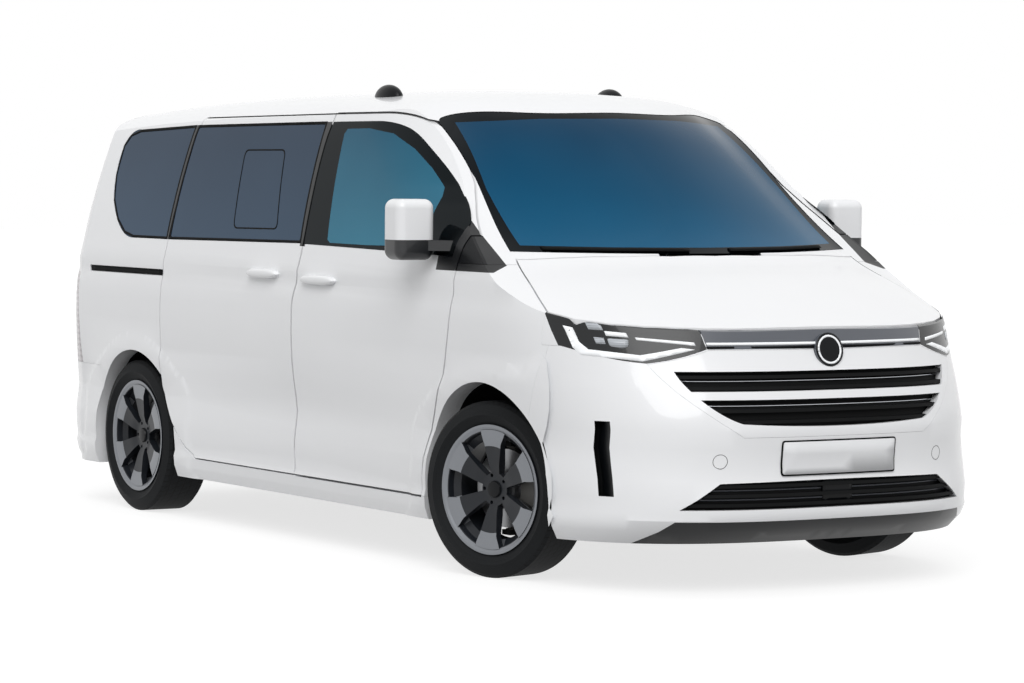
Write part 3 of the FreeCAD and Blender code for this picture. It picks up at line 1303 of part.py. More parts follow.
def save_pair(name, right):
    """Writes the right and left pieces of one kind as one node."""
    save(name, both_sides(right))


def save_sides(name, right):
    """Writes the right piece and its mirror image as two nodes."""
    save(name + "_right", right)
    save(name + "_left", mirrored(right))


grilles = Part.makeCompound(upper_slats.Solids + lower_slats.Solids + both_sides(slot_back).Solids)
mirror = mirror_unit()
save_sides("side_panel", solids_only(side_panel_whole))
save("roof_panel", roof_panel)
save_pair("fenders", fender)
save("front_bumper", front_bumper)
save("rear_bumper", rear_bumper)
save("grille_surround", grille_surround)
save("grilles", grilles)
save("light_band", light_band)
save_pair("headlamps", headlamp)
save_pair("tail_lamps", tail_lamp)
save("windscreen", windscreen)
save("bonnet", bonnet)
save("cowl_panel", cowl_panel)
save_sides("front_door", solids_only(front_door_whole))
save_sides("front_door_glass", front_pane)
save_sides("sliding_door", solids_only(sliding_door_whole))
save_pair("sliding_door_glass", sliding_pane)
save_pair("quarter_glass", quarter_pane)
save_pair("pillar_trims", pillar_trim)
save_sides("mirror", mirror)
save("tailgate", tailgate)
save("tailgate_glass", tailgate_pane)
save("floor_pan", floor_pan)
save("wheel_arch_liners", wheel_arch_liners)
save("dashboard", dashboard)
save("steering_wheel", solids_only(steering_wheel))
save("front_seats", front_seats)
save("middle_seats", middle_seats)
save("rear_bench", bench_joined)
save("roof_pods", roof_pods)
save("engine_block", engine_block)
save("fuel_tank", fuel_tank)
save("exhaust", exhaust)
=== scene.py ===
import json
import math

import bpy
import numpy
from mathutils import Matrix, Vector
from mathutils.bvhtree import BVHTree
from mathutils.geometry import delaunay_2d_cdt


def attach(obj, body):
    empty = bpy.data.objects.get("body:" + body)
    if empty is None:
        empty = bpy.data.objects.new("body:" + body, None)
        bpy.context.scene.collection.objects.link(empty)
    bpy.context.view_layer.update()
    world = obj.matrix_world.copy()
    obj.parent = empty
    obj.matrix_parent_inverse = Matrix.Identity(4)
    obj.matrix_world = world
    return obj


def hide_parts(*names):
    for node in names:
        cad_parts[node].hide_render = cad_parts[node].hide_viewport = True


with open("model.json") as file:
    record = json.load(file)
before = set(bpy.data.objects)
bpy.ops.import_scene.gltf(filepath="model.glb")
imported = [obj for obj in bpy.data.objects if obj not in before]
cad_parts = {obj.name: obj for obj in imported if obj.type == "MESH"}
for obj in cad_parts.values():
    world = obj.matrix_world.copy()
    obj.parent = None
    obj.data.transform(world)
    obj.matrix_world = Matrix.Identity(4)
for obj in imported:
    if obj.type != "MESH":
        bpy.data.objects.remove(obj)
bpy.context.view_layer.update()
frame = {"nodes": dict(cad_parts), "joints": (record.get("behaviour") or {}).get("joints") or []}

bl_info = {
    "name": "Minibus finish",
    "version": (1, 0, 0),
    "blender": (4, 5, 0),
    "location": "View3D > Sidebar > Minibus",
    "description": "Dresses the minibus frame with paint, glass, lamps, trim, wheels and seats",
    "category": "Object",
}

SHAPES = frame["nodes"]
MM = 0.001

# Bounds of the cabin in metres: its front end, its floor, and the height above which a face can be a ceiling
CABIN_FRONT, CABIN_FLOOR, CEILING_START = 1.62, 0.40, 1.2
# How far a face looks inwards, and how far down, before it counts as lining
INWARD_FACING, DOWNWARD_FACING = -0.12, -0.35
# Height of the top edge of the side panes and the windscreen
PANE_TOP = 1.80
# Width in metres of one band of a wave texture of scale one
WAVE_BAND = 0.159
# Rim of a plate's frame beyond the plate, and the half length of the stage floor
PLATE_RIM, FLOOR_REACH = 0.012, 60.0
# Radii at the wheels: where the bright rim ring and the tread start, and where the sidewall's rings end
RIM_RING, TREAD_START, WALL_END = 0.2335, 0.3385, 0.325
# Bolt circle's radius, and the profiles of nut, cap and head rest rod as distance along the axis and radius
BOLT_CIRCLE = 0.056
NUT = [(0.036, 0.0075), (0.062, 0.0105), (0.066, 0.0095), (0.068, 0.006)]
CAP = [(0.052, 0.030), (0.074, 0.034), (0.079, 0.031), (0.081, 0.018), (0.0815, 0.004)]
ROD = [(0.0, 0.006), (0.10, 0.006)]
# Edges sharper than these angles stay crisp: on the frame's nodes and on turned pieces
FRAME_CRISP, TURNED_CRISP = math.radians(24), math.radians(35)
# Spacing in metres of the rays that survey a surface before a sheet is laid on it
SURVEY_STEP = 0.012
# The camera that matches the photograph: direction in degrees, place in metres, lens in millimetres
AZIMUTH, ELEVATION, ROLL = 58.118, 2.710, 0.503
CAMERA_PLACE = (13.836, -8.537, 1.658)
FOCAL_LENGTH, SENSOR_WIDTH = 129.4, 36.0
LENS_SHIFT = (-0.0003, -0.00916)
# Sky lamps: name, the way to the lamp, strength, and width in degrees
SKY_LAMPS = (("key_sky", (0.60, -0.42, 0.66), 1.62, 45), ("top_sky", (0.1, 0.1, 1.0), 0.08, 60))
# The world's strength for the light it gives, and what is added where it is seen
SKY_LIGHT, SKY_SEEN = 0.56, 0.44


class BodyLooks(bpy.types.PropertyGroup):
    paint: bpy.props.StringProperty(
        name="Paint", description="Body colour as an sRGB hex value", default="F1F2F4")
    lining: bpy.props.StringProperty(
        name="Lining", description="Cabin lining as an sRGB hex value", default="4A4C50")
    frame_black: bpy.props.StringProperty(
        name="Frame black", description="Window frame colour", default="0A0C0F")
    screen_tint: bpy.props.StringProperty(
        name="Windscreen tint", description="Windscreen colour", default="0C5A80")
    door_tint: bpy.props.StringProperty(
        name="Door glass tint", description="Front door glass colour", default="1F5F7C")
    privacy_tint: bpy.props.StringProperty(
        name="Privacy tint", description="Rear glass colour", default="2F4257")
    frame_edge: bpy.props.FloatProperty(
        name="Glass border", description="Black border round the rear panes", default=0.012, unit="LENGTH")


class FrontLooks(bpy.types.PropertyGroup):
    lamp_light: bpy.props.StringProperty(
        name="Running light", description="Running light colour", default="F7F9FB")
    band_grey: bpy.props.StringProperty(
        name="Band grey", description="Colour of the band between the lamps", default="50545C")
    slat_line: bpy.props.FloatProperty(
        name="Slat line", description="Height of a bright grille line", default=0.007, unit="LENGTH")
    plate_length: bpy.props.FloatProperty(
        name="Plate length", description="Length of the blank plate", default=0.52, unit="LENGTH")
    plate_height: bpy.props.FloatProperty(
        name="Plate height", description="Height of the blank plate", default=0.112, unit="LENGTH")


class WheelLooks(bpy.types.PropertyGroup):
    machined: bpy.props.StringProperty(
        name="Machined face", description="Colour of the turned metal", default="8B8E93")
    graphite: bpy.props.StringProperty(
        name="Graphite paint", description="Colour between the faces", default="1B1E23")
    face_angle: bpy.props.FloatProperty(
        name="Face half angle", description="Half angle of a machined tip",
        default=math.radians(15.5), subtype="ANGLE")
    face_start: bpy.props.FloatProperty(
        name="Face start", description="Radius where the machined tip begins", default=0.172, unit="LENGTH")
    sipe_count: bpy.props.IntProperty(
        name="Tread blocks", description="Blocks round the tyre", default=68)


class SeatLooks(bpy.types.PropertyGroup):
    cloth: bpy.props.StringProperty(name="Cloth", description="Seat cloth colour", default="2E3036")
    crown: bpy.props.FloatProperty(
        name="Crown", description="How far a pad swells at its middle", default=0.018, unit="LENGTH")
    thread: bpy.props.FloatProperty(
        name="Thread spacing", description="Spacing of the weave", default=0.0016, unit="LENGTH")


def linear(hex_code):
    """An sRGB hex value as a linear colour."""
    levels = [int(hex_code[i:i + 2], 16) / 255 for i in (0, 2, 4)]
    return tuple(p / 12.92 if p <= 0.04045 else ((p + 0.055) / 1.055) ** 2.4 for p in levels) + (1.0,)


def scaled(colour, share):
    """The linear colour made darker or paler."""
    return tuple(min(1.0, c * share) for c in colour[:3]) + (1.0,)


def join(node, **joined):
    """Sets a node's inputs: a number goes on the input itself, and another node's output is joined to it."""
    for name, value in joined.items():
        numbered = name[0] == "i" and name[1:].isdigit()
        socket = node.inputs[int(name[1:]) if numbered else name.replace("_", " ")]
        if isinstance(value, bpy.types.NodeSocket):
            node.id_data.links.new(value, socket)
        else:
            socket.default_value = value
    return node


def add(tree, kind, settings=None, **joined):
    """Adds a shader node with its settings and its inputs."""
    made = tree.nodes.new(kind)
    for name, value in (settings or {}).items():
        setattr(made, name, value)
    return join(made, **joined)


def blank(name):
    """A new material with its shader and output only."""
    material = bpy.data.materials.new(name)
    material.use_nodes = True
    tree = material.node_tree
    tree.nodes.clear()
    out = tree.nodes.new("ShaderNodeOutputMaterial")
    shader = tree.nodes.new("ShaderNodeBsdfPrincipled")
    tree.links.new(shader.outputs[0], out.inputs[0])
    return material, tree, shader


def maths(operation, a, b=0.0):
    """One sum of two values, of which at least one is a node's output."""
    tree = (a if isinstance(a, bpy.types.NodeSocket) else b).id_data
    return add(tree, "ShaderNodeMath", {"operation": operation}, i0=a, i1=b).outputs[0]


def chained(operation, values):
    """One operation over several values, from the first to the last."""
    result = values[0]
    for value in values[1:]:
        result = maths(operation, result, value)
    return result


def times(*values):
    """The product, which is one where all of several tests give one."""
    return chained("MULTIPLY", values)


def largest(*values):
    """The greatest value, which is one where any of several tests gives one."""
    return chained("MAXIMUM", values)


def plus(a, b):
    return maths("ADD", a, b)


def minus(a, b):
    return maths("SUBTRACT", a, b)


def absolute(a):
    return maths("ABSOLUTE", a)


def above(value, limit):
    return maths("GREATER_THAN", value, limit)


def below(value, limit):
    return maths("LESS_THAN", value, limit)


def between(value, low, high):
    return times(above(value, low), below(value, high))


def near(value, middle, reach):
    return below(absolute(minus(value, middle)), reach)


def stripes(value, half_spacing, half_width):
    """One on even stripes of a value."""
    return below(maths("PINGPONG", value, half_spacing), half_width)


def place(tree):
    """The point on the object in the frame, in metres."""
    return add(tree, "ShaderNodeTexCoord").outputs["Object"]


def parts(tree, point=None):
    """The three coordinates of a point, which is by default the point on the object."""
    return add(tree, "ShaderNodeSeparateXYZ", None, i0=place(tree) if point is None else point).outputs


def blend(share, a, b):
    """A colour that passes from the first to the second as the share grows."""
    return add(share.id_data, "ShaderNodeMix", {"data_type": "RGBA"}, i0=share, i6=a, i7=b).outputs[2]


def grain(tree, scale, detail):
    """A soft noise over the object."""
    noise = add(tree, "ShaderNodeTexNoise", None, Vector=place(tree), Scale=scale, Detail=detail)
    return noise.outputs["Fac"]


def ribs(tree, way, spacing, distortion=0.0):
    """Even bands of a real spacing in metres."""
    return add(tree, "ShaderNodeTexWave", {"bands_direction": way}, Vector=place(tree),
               Scale=WAVE_BAND / spacing, Distortion=distortion).outputs["Fac"]


def relief(height, depth, strength):
    """A fine relief of a real depth in metres."""
    bump = add(height.id_data, "ShaderNodeBump", None, Strength=strength, Distance=depth, Height=height)
    return bump.outputs[0]


def mottle(tree, hex_code, size, amount):
    """A colour with a slight variation of a real size in metres, and the noise that it follows."""
    noise = grain(tree, 1 / size, 3.0)
    colour = linear(hex_code)
    return blend(noise, scaled(colour, 1 - amount), scaled(colour, 1 + amount)), noise


def inside_share(tree):
    """One on faces that look into the cabin and nought on those that look out."""
    coordinates = add(tree, "ShaderNodeTexCoord").outputs
    _, sideways, upward = parts(tree, coordinates["Normal"])
    x, y, z = parts(tree, coordinates["Object"])
    wall = below(times(sideways, y), INWARD_FACING)
    ceiling = times(below(upward, DOWNWARD_FACING), above(z, CEILING_START))
    cabin = times(below(x, CABIN_FRONT), above(z, CABIN_FLOOR))
    return times(largest(wall, ceiling), cabin)


def pillar_share(tree):
    """One on the posts between the side windows, which are black like the frames."""
    x, y, z = parts(tree)
    roof_line = plus(1.8075, times(x, 0.0085))
    # the middle post leans back as it rises from the belt line, and the rear post stands upright
    leaning = plus(x, times(minus(z, 1.28), 0.085))
    post = largest(near(leaning, -0.048, 0.023), near(x, -1.3335, 0.0125))
    return times(post, above(absolute(y), 0.72), above(z, 1.2715),
                 below(z, roof_line))


def trim_share(tree):
    """One on the black corner ahead of the door window, in the upright slots and on the bumper's lip."""
    x, y, z = parts(tree)
    y = absolute(y)
    # two slanted lines bound the corner: one along the door's front edge and one along the pillar
    edge_line = plus(z, times(x, 1.084))
    pillar_line = plus(z, times(x, 0.765))
    corner = times(above(y, 0.885), above(x, 1.1), above(z, 1.206),
                   below(edge_line, 2.848), below(pillar_line, 2.40))
    slot = times(between(y, 0.8475, 0.8805), between(z, 0.3755, 0.6605),
                 above(x, 1.7))
    lip_top = minus(0.965, maths("MAXIMUM", y, 0.68))
    lip = times(above(x, 1.95), below(z, lip_top))
    return largest(corner, slot, lip)


def enamel_material():
    """Two-coat enamel, sprayed and baked: pale, deep gloss under lacquer; the cabin side is woven lining."""
    looks = bpy.context.scene.minibus_body
    material, tree, shader = blank("sprayed_enamel")
    paint = mottle(tree, looks.paint, 0.35, 0.012)[0]
    cloth = linear(looks.lining)
    lining = blend(grain(tree, 1 / (4 * MM), 2.0), scaled(cloth, 0.8), cloth)
    cabin = inside_share(tree)
    black = largest(pillar_share(tree), trim_share(tree))
    colour = blend(cabin, paint, lining)
    join(shader, Base_Color=blend(black, colour, linear(looks.frame_black)),
         Roughness=plus(times(cabin, 0.5), 0.32), IOR=1.5, Specular_IOR_Level=0.4,
         Coat_Weight=times(minus(1.0, black), 0.6), Coat_Roughness=0.05)
    return material


def plain(name, hex_code, roughness, metallic=0.0, size=0.02, amount=0.04, bump=0.0, coat=0.0, gloss=0.5):
    """A material with its own colour variation and fine relief."""
    material, tree, shader = blank(name)
    colour, noise = mottle(tree, hex_code, size, amount)
    join(shader, Base_Color=colour, Roughness=roughness, Metallic=metallic, IOR=1.5,
         Specular_IOR_Level=gloss)
    if bump:
        join(shader, Normal=relief(noise, bump, 0.5))
    if coat:
        join(shader, Coat_Weight=coat, Coat_Roughness=0.04)
    return material


def outside_share(tree, loop, view):
    """One outside a convex outline drawn as seen from the front or from a side, and nought inside it."""
    if area(loop) < 0:
        loop = list(reversed(loop))
    distances = []
    for (a0, b0), (a1, b1) in edges_of(loop):
        length = math.hypot(a1 - a0, b1 - b0)
        across, up = (b0 - b1) / length, (a1 - a0) / length
        way = (0.0, across, up) if view == "front" else (across, 0.0, up)
        along = add(tree, "ShaderNodeVectorMath", {"operation": "DOT_PRODUCT"}, i0=place(tree), i1=way)
        distances.append(minus(along.outputs[1], across * a0 + up * b0))
    return below(chained("MINIMUM", distances), 0.0)


def glass_material(name, upper, lower, foot, clear, sheen, printed=None):
    """Float glass with a metal-oxide tint: smooth and reflective; painted reflection pales its lower edge.
    """
    material, tree, shader = blank(name)
    # painted reflection: the colour passes from the upper colour to a paler one towards the pane's foot, in
    # soft uneven patches
    height = add(tree, "ShaderNodeMapRange", None, i0=parts(tree)[2], i1=foot, i2=PANE_TOP).outputs[0]
    reflection_patches = times(minus(grain(tree, 1.6, 2.0), 0.5), 0.5)
    colour = blend(plus(height, reflection_patches), linear(lower), linear(upper))
    join(shader, Roughness=0.03, IOR=1.45, Specular_IOR_Level=0.12, Transmission_Weight=clear,
         Specular_Tint=linear(sheen))
    if printed:
        # fired ceramic print hides the edge of the pane
        ink = outside_share(tree, *printed)
        colour = blend(ink, colour, linear("07090B"))
        join(shader, Transmission_Weight=times(minus(1.0, ink), clear))
    join(shader, Base_Color=colour)
    return material


def about_axle(tree, centre, turn):
    """The point's distance along the axle, its facing along it, its radius and its angle about it."""
    about_z = {"rotation_type": "Z_AXIS"}

    def straightened(vector):
        return add(tree, "ShaderNodeVectorRotate", about_z, i0=vector, Angle=-turn).outputs[0]

    coordinates = add(tree, "ShaderNodeTexCoord").outputs
    offset = add(tree, "ShaderNodeVectorMath", {"operation": "SUBTRACT"}, i0=coordinates["Object"],
                 i1=centre)
    x, along, z = parts(tree, straightened(offset.outputs[0]))
    facing = parts(tree, straightened(coordinates["Normal"]))[1]
    squares = plus(maths("POWER", x, 2.0), maths("POWER", z, 2.0))
    return along, facing, maths("SQRT", squares), maths("ARCTAN2", x, z)


def wheel_material(name, centre, turn):
    """Cast alloy, painted graphite, with spoke tips turned bright on a lathe and lacquered."""
    looks = bpy.context.scene.minibus_wheels
    material, tree, shader = blank(name)
    along, facing, radius, angle = about_axle(tree, centre, turn)
    spoke = stripes(minus(angle, math.radians(3)), math.radians(30), looks.face_angle)
    tip = times(spoke, above(radius, looks.face_start))
    outer = times(above(absolute(facing), 0.7), above(absolute(along), 0.05))
    bright = times(largest(tip, above(radius, RIM_RING)), outer)
    rings = times(radius, 900.0)
    lathe = add(tree, "ShaderNodeTexNoise", {"noise_dimensions": "1D"}, W=rings, Detail=2.0)
    metal = blend(lathe.outputs["Fac"], linear("7B7E83"), linear(looks.machined))
    join(shader, Base_Color=blend(bright, linear(looks.graphite), metal),
         Metallic=times(bright, 0.55), Roughness=plus(times(bright, -0.1), 0.42),
         Specular_IOR_Level=0.25, Coat_Weight=0.15, Coat_Roughness=0.1)
    return material


def tyre_material(name, centre, turn):
    """Vulcanised rubber, moulded: near-black, matt; tread blocks with painted shade between; fine sidewall
    rings.
    """
    material, tree, shader = blank(name)
    along, _, radius, angle = about_axle(tree, centre, turn)
    groove = stripes(plus(along, 0.36), 0.018, 0.0035)
    skewed = plus(angle, times(along, 1.4))
    sipe = stripes(skewed, math.pi / bpy.context.scene.minibus_wheels.sipe_count, 0.009)
    cut = times(largest(groove, sipe), above(radius, TREAD_START))
    ring = stripes(minus(radius, 0.262), 0.011, 0.0012)
    wall = times(ring, below(radius, WALL_END), 0.15)
    height = minus(1.0, plus(cut, wall))
    # painted shade: the grooves and sipes are coloured darker than the face of the tread
    join(shader, Base_Color=blend(cut, linear("121416"), linear("060708")), Roughness=0.72,
         Specular_IOR_Level=0.2, Normal=relief(height, 6 * MM, 1.0))
    return material


def cloth_material():
    """Polyester seat cloth, woven: matt with a faint sheen; threads drawn coarse enough to show."""
    looks = bpy.context.scene.minibus_seats
    material, tree, shader = blank("woven_seat_cloth")
    weave = times(ribs(tree, "Y", looks.thread, 0.6), ribs(tree, "DIAGONAL", looks.thread, 0.6))
    cloth = linear(looks.cloth)
    join(shader, Base_Color=blend(weave, cloth, scaled(cloth, 1.7)), Roughness=0.9, Sheen_Weight=0.25,
         Normal=relief(weave, 0.4 * MM, 0.6))
    return material


def mirror_shell_material():
    """Moulded ABS shell: enamelled above the split line, bare grained black below it."""
    material, tree, shader = blank("moulded_mirror_shell")
    paint = mottle(tree, bpy.context.scene.minibus_body.paint, 0.2, 0.01)[0]
    _, y, z = parts(tree)
    cap = times(above(z, 1.3262), above(absolute(y), 0.985))
    join(shader, Base_Color=blend(cap, linear("16181B"), paint), Roughness=0.35, Coat_Weight=0.3)
    return material


def lamp_housing_material(name, hex_code, rib, slanted=False):
    """Polycarbonate cover over a dark moulded housing: glossy, with fine moulded ribs below."""
    material, tree, shader = blank(name)
    base = linear(hex_code)
    colour = blend(ribs(tree, "Z", rib), scaled(base, 0.7), base)
    if slanted:
        # the wing's painted edge covers the rear corner of the lamp below a slanted line
        x, _, z = parts(tree)
        covered = below(plus(x, times(z, 0.65)), 2.556)
        colour = blend(covered, colour, linear(bpy.context.scene.minibus_body.paint))
    join(shader, Base_Color=colour, Roughness=0.25, IOR=1.58, Specular_IOR_Level=0.25, Coat_Weight=0.3)
    return material


def lit_material():
    """Opal acrylic light guide, moulded: bright and even."""
    material, tree, shader = blank("opal_acrylic_light_guide")
    colour = mottle(tree, bpy.context.scene.minibus_front.lamp_light, 0.01, 0.02)[0]
    join(shader, Base_Color=colour, Roughness=0.2, IOR=1.49, Emission_Color=linear("F4F7FA"),
         Emission_Strength=0.15)
    return material


MATERIALS = {}


def finish_of(name):
    """The finish of that name, made on first use."""
    body = bpy.context.scene.minibus_body
    front = bpy.context.scene.minibus_front
    makers = {
        "enamel": enamel_material,
        # ABS moulded in a polished tool: black and mirror-smooth
        "frame_black": lambda: plain("polished_black_abs", body.frame_black, 0.3, amount=0.05, gloss=0.18),
        # Polypropylene moulded with a leather-like grain: dull black
        "grained": lambda: plain("grained_polypropylene", "08090A", 0.62, gloss=0.12, size=2.5 * MM,
                                 amount=0.1, bump=0.3 * MM),
        # EPDM rubber, extruded: matt black line
        "seal": lambda: plain("extruded_rubber_seal", "08090A", 0.7, size=0.01, amount=0.06, gloss=0.1),
        # each pane passes from its upper colour to a paler lower colour: a painted reflection
        "screen": lambda: glass_material("laminated_windscreen", "043C5C", body.screen_tint, 1.28, 0.12,
                                         "3E8FB0", (inset(SCREEN, 0.020), "front")),
        "door_glass": lambda: glass_material("tinted_door_glass", body.door_tint, "3F8AA6", 1.25, 0.2,
                                             "6FB4CC", (DOOR_CLEAR, "side")),
        "privacy": lambda: glass_material("privacy_glass", body.privacy_tint, "40566D", 1.25, 0.1, "9FA9BC"),
        "lamp_housing": lambda: lamp_housing_material("lamp_cover_over_dark_housing", "0E1114",
                                                      9 * MM, True),
        # Acrylic sheet with a satin face: an even grey under a soft gloss
        "band": lambda: plain("satin_grey_acrylic", front.band_grey, 0.3, size=0.05, amount=0.03, coat=0.6),
        "light": lit_material,
        # Moulded acrylic lens: clear and pale, seen against its reflector
        "lens": lambda: lamp_housing_material("moulded_lens_block", "C3C8CE", 4 * MM),
        # Moulded acrylic cover: pale with wide ribs
        "tail_lens": lambda: lamp_housing_material("tail_lamp_lens", "C9C3C7", 14 * MM),
        # Red acrylic, moulded with fine prisms
        "red_lens": lambda: lamp_housing_material("red_prism_lens", "A3141E", 5 * MM),
        # ABS plated with chromium: a bright, sharp line
        "chrome": lambda: plain("chromed_abs", "C6C9CE", 0.12, metallic=1.0, amount=0.02),
        # Cast iron, bare and shot-blasted: dull grey with a rough skin
        "iron": lambda: plain("cast_iron", "5B5A58", 0.6, metallic=0.6, size=3 * MM, amount=0.15,
                              bump=0.3 * MM),
        # Steel turned on a lathe, wiped bright by the pads
        "disc": lambda: plain("turned_disc_steel", "9A9B9D", 0.32, metallic=0.9, size=2 * MM,
                              amount=0.08),
        # Steel with cathodic dip paint: satin black
        "chassis": lambda: plain("dip_painted_steel", "121314", 0.5, gloss=0.2, size=0.02, amount=0.15,
                                 bump=0.3 * MM),
        # Needled nylon carpet: dark and quite without gloss
        "carpet": lambda: plain("needled_carpet", "202124", 0.95, gloss=0.05, size=3 * MM,
                                amount=0.3, bump=1.5 * MM),
        "cloth": cloth_material,
        "mirror_shell": mirror_shell_material,
        # Float glass silvered behind: it gives back what stands behind the vehicle
        "silvered": lambda: plain("silvered_mirror_glass", "D5DADF", 0.03, metallic=1.0, amount=0.01),
        # Aluminium sheet, coated white and embossed blank
        "plate": lambda: plain("coated_plate_sheet", "E9EAEC", 0.8, gloss=0.2, size=0.05, amount=0.015),
        # Needled polyester felt: a dark, dull hollow round the wheel
        "felt": lambda: plain("needled_arch_felt", "0B0C0D", 0.95, gloss=0.05, size=4 * MM,
                              amount=0.3, bump=1 * MM),
    }
    if name not in MATERIALS:
        MATERIALS[name] = makers[name]()
    return MATERIALS[name]


def even_shading():
    """A modifier group that joins the frame's facets for shading and keeps true edges crisp."""
    group = bpy.data.node_groups.get("even_shading")
    if group:
        return group
    group = bpy.data.node_groups.new("even_shading", "GeometryNodeTree")
    for way in ("INPUT", "OUTPUT"):
        group.interface.new_socket("Geometry", in_out=way, socket_type="NodeSocketGeometry")
    source = group.nodes.new("NodeGroupInput")
    bare = add(group, "GeometryNodeRemoveAttribute", None, Geometry=source.outputs[0], Name="custom_normal")
    joined = add(group, "GeometryNodeMergeByDistance", None, Geometry=bare.outputs[0],
                 Distance=0.02 * MM)
    soft = add(group, "GeometryNodeSetShadeSmooth", {"domain": "FACE"}, Geometry=joined.outputs[0],
               Shade_Smooth=True)
    angle = group.nodes.new("GeometryNodeInputMeshEdgeAngle")
    corner = add(group, "FunctionNodeCompare", {"data_type": "FLOAT", "operation": "GREATER_THAN"},
                 i0=angle.outputs[0], i1=FRAME_CRISP)
    crisp = add(group, "GeometryNodeSetShadeSmooth", {"domain": "EDGE"}, Geometry=soft.outputs[0],
                Selection=corner.outputs[0], Shade_Smooth=False)
    add(group, "NodeGroupOutput", None, i0=crisp.outputs[0])
    return group


def wear(node, finish):
    """Gives a frame node its finish and even shading."""
    shading = SHAPES[node].modifiers.new("even_shading", "NODES")
    shading.node_group = even_shading()
    mesh = SHAPES[node].data
    mesh.materials.clear()
    mesh.materials.append(finish_of(finish) if isinstance(finish, str) else finish)


def solid_piece(name, points, faces, finish, body, smooth=False):
    """A mesh piece in the frame, with its finish, riding on a body."""
    mesh = bpy.data.meshes.new(name)
    mesh.from_pydata([tuple(p) for p in points], [], faces)
    mesh.update()
    piece = bpy.data.objects.new(name, mesh)
    bpy.context.scene.collection.objects.link(piece)
    mesh.materials.append(finish_of(finish))
    if smooth:
        mesh.polygons.foreach_set("use_smooth", [True] * len(mesh.polygons))
    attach(piece, body)
    return piece


def survey(node):
    """A search tree over the faces of a node of the frame."""
    mesh = SHAPES[node].data
    points = [v.co.copy() for v in mesh.vertices]
    return BVHTree.FromPolygons(points, [list(face.vertices) for face in mesh.polygons])


# Each view's direction, and where a ray through a flat point starts
LOOK = {
    "right": (Vector((0, 1, 0)), lambda a, b: Vector((a, -1.4, b))),
    "left": (Vector((0, -1, 0)), lambda a, b: Vector((a, 1.4, b))),
    "front": (Vector((-1, 0, 0)), lambda a, b: Vector((3.0, a, b))),
    "rear": (Vector((1, 0, 0)), lambda a, b: Vector((-3.0, a, b))),
}


def edges_of(loop):
    """The sides of a closed outline, each as its two ends."""
    return list(zip(loop, loop[1:] + loop[:1]))


def area(loop):
    """Twice the area of a closed outline, below nought where it runs clockwise."""
    return sum(a[0] * b[1] - b[0] * a[1] for a, b in edges_of(loop))


def within(p, loop):
    """Whether a flat point lies inside a closed outline."""
    found = False
    for (ax, ay), (bx, by) in edges_of(loop):
        if (ay > p[1]) != (by > p[1]) and p[0] < (bx - ax) * (p[1] - ay) / (by - ay) + ax:
            found = not found
    return found


def stepped(loop, step):
    """The outline with points no further apart than the step."""
    made = []
    for (ax, ay), (bx, by) in edges_of(loop):
        count = max(1, math.ceil(math.hypot(bx - ax, by - ay) / step))
        made += [(ax + (bx - ax) * i / count, ay + (by - ay) * i / count) for i in range(count)]
    return made


def corners(loop):
    """Each corner of a closed outline, between the one before it and the one after it."""
    spots = [Vector(p) for p in loop]
    return zip(spots[-1:] + spots[:-1], spots, spots[1:] + spots[:1])


def inset(loop, amount):
    """The closed outline moved inwards by the amount."""
    turn = 1 if area(loop) > 0 else -1
    made = []
    for before, here, after in corners(loop):
        d1, d2 = (here - before).normalized(), (after - here).normalized()
        n1, n2 = Vector((-d1.y, d1.x)) * turn, Vector((-d2.y, d2.x)) * turn
        middle = (n1 + n2).normalized()
        made.append(tuple(here + middle * (amount / max(0.35, middle.dot(n1)))))
    return made


def rounded(loop, radius, count=5):
    """The closed outline with its corners rounded."""
    made = []
    for before, here, after in corners(loop):
        d1, d2 = before - here, after - here
        reach = min(radius, d1.length * 0.45, d2.length * 0.45)
        a, b = here + d1.normalized() * reach, here + d2.normalized() * reach
        for k in range(count + 1):
            t = k / count
            made.append(tuple(a * (1 - t) ** 2 + here * 2 * t * (1 - t) + b * t ** 2))
    return made


def box(a0, b0, a1, b1):
    """An outline with four square corners."""
    return [(a0, b0), (a1, b0), (a1, b1), (a0, b1)]


def circle(a, b, radius, count=28):
    """A round outline."""
    angles = [2 * math.pi * i / count for i in range(count)]
    return [(a + radius * math.cos(t), b + radius * math.sin(t)) for t in angles]


def ribbon(chain, width):
    """A closed outline round a chain of flat points."""
    left, right = [], []
    for i, here in enumerate(chain):
        before, after = Vector(chain[max(0, i - 1)]), Vector(chain[min(len(chain) - 1, i + 1)])
        d = (after - before).normalized()
        n = Vector((-d.y, d.x)) * width / 2
        left.append(tuple(Vector(here) + n))
        right.append(tuple(Vector(here) - n))
    return left + list(reversed(right))


def swapped(loop):
    """The outline mirrored across the middle of the vehicle, for a view along X."""
    return [(-a, b) for a, b in reversed(loop)]


def evened(points, samples, depth, power, largest_jump, name):
    """Smooth depths at the points: a polynomial fitted to the samples that didn't fall into a gap."""
    if len(depth) < 3:
        raise RuntimeError(name + " does not meet the surface it is laid on")
    flat = numpy.array(samples)
    middle, spread = flat.mean(0), max(1e-6, float(numpy.ptp(flat, axis=0).max()))
    while power > 1 and (power + 1) * (power + 2) > len(depth):
        power -= 1
    powers = [(i, j) for i in range(power + 1) for j in range(power + 1 - i)]

    def terms(places):
        u, v = ((numpy.array(places) - middle) / spread).T
        return numpy.array([u ** i * v ** j for i, j in powers]).T

    known, values = terms(samples), numpy.array(depth)
    kept = numpy.arange(len(values))
    # wide limits come first, so that samples from a gap don't bend the fit for long
    for limit in (0.05, 0.02, largest_jump, largest_jump):
        fit = numpy.linalg.lstsq(known[kept], values[kept], rcond=None)[0]
        closer = numpy.flatnonzero(numpy.abs(known @ fit - values) < limit)
        if len(closer) < known.shape[1]:
            break
        kept = closer
    return terms(points) @ fit


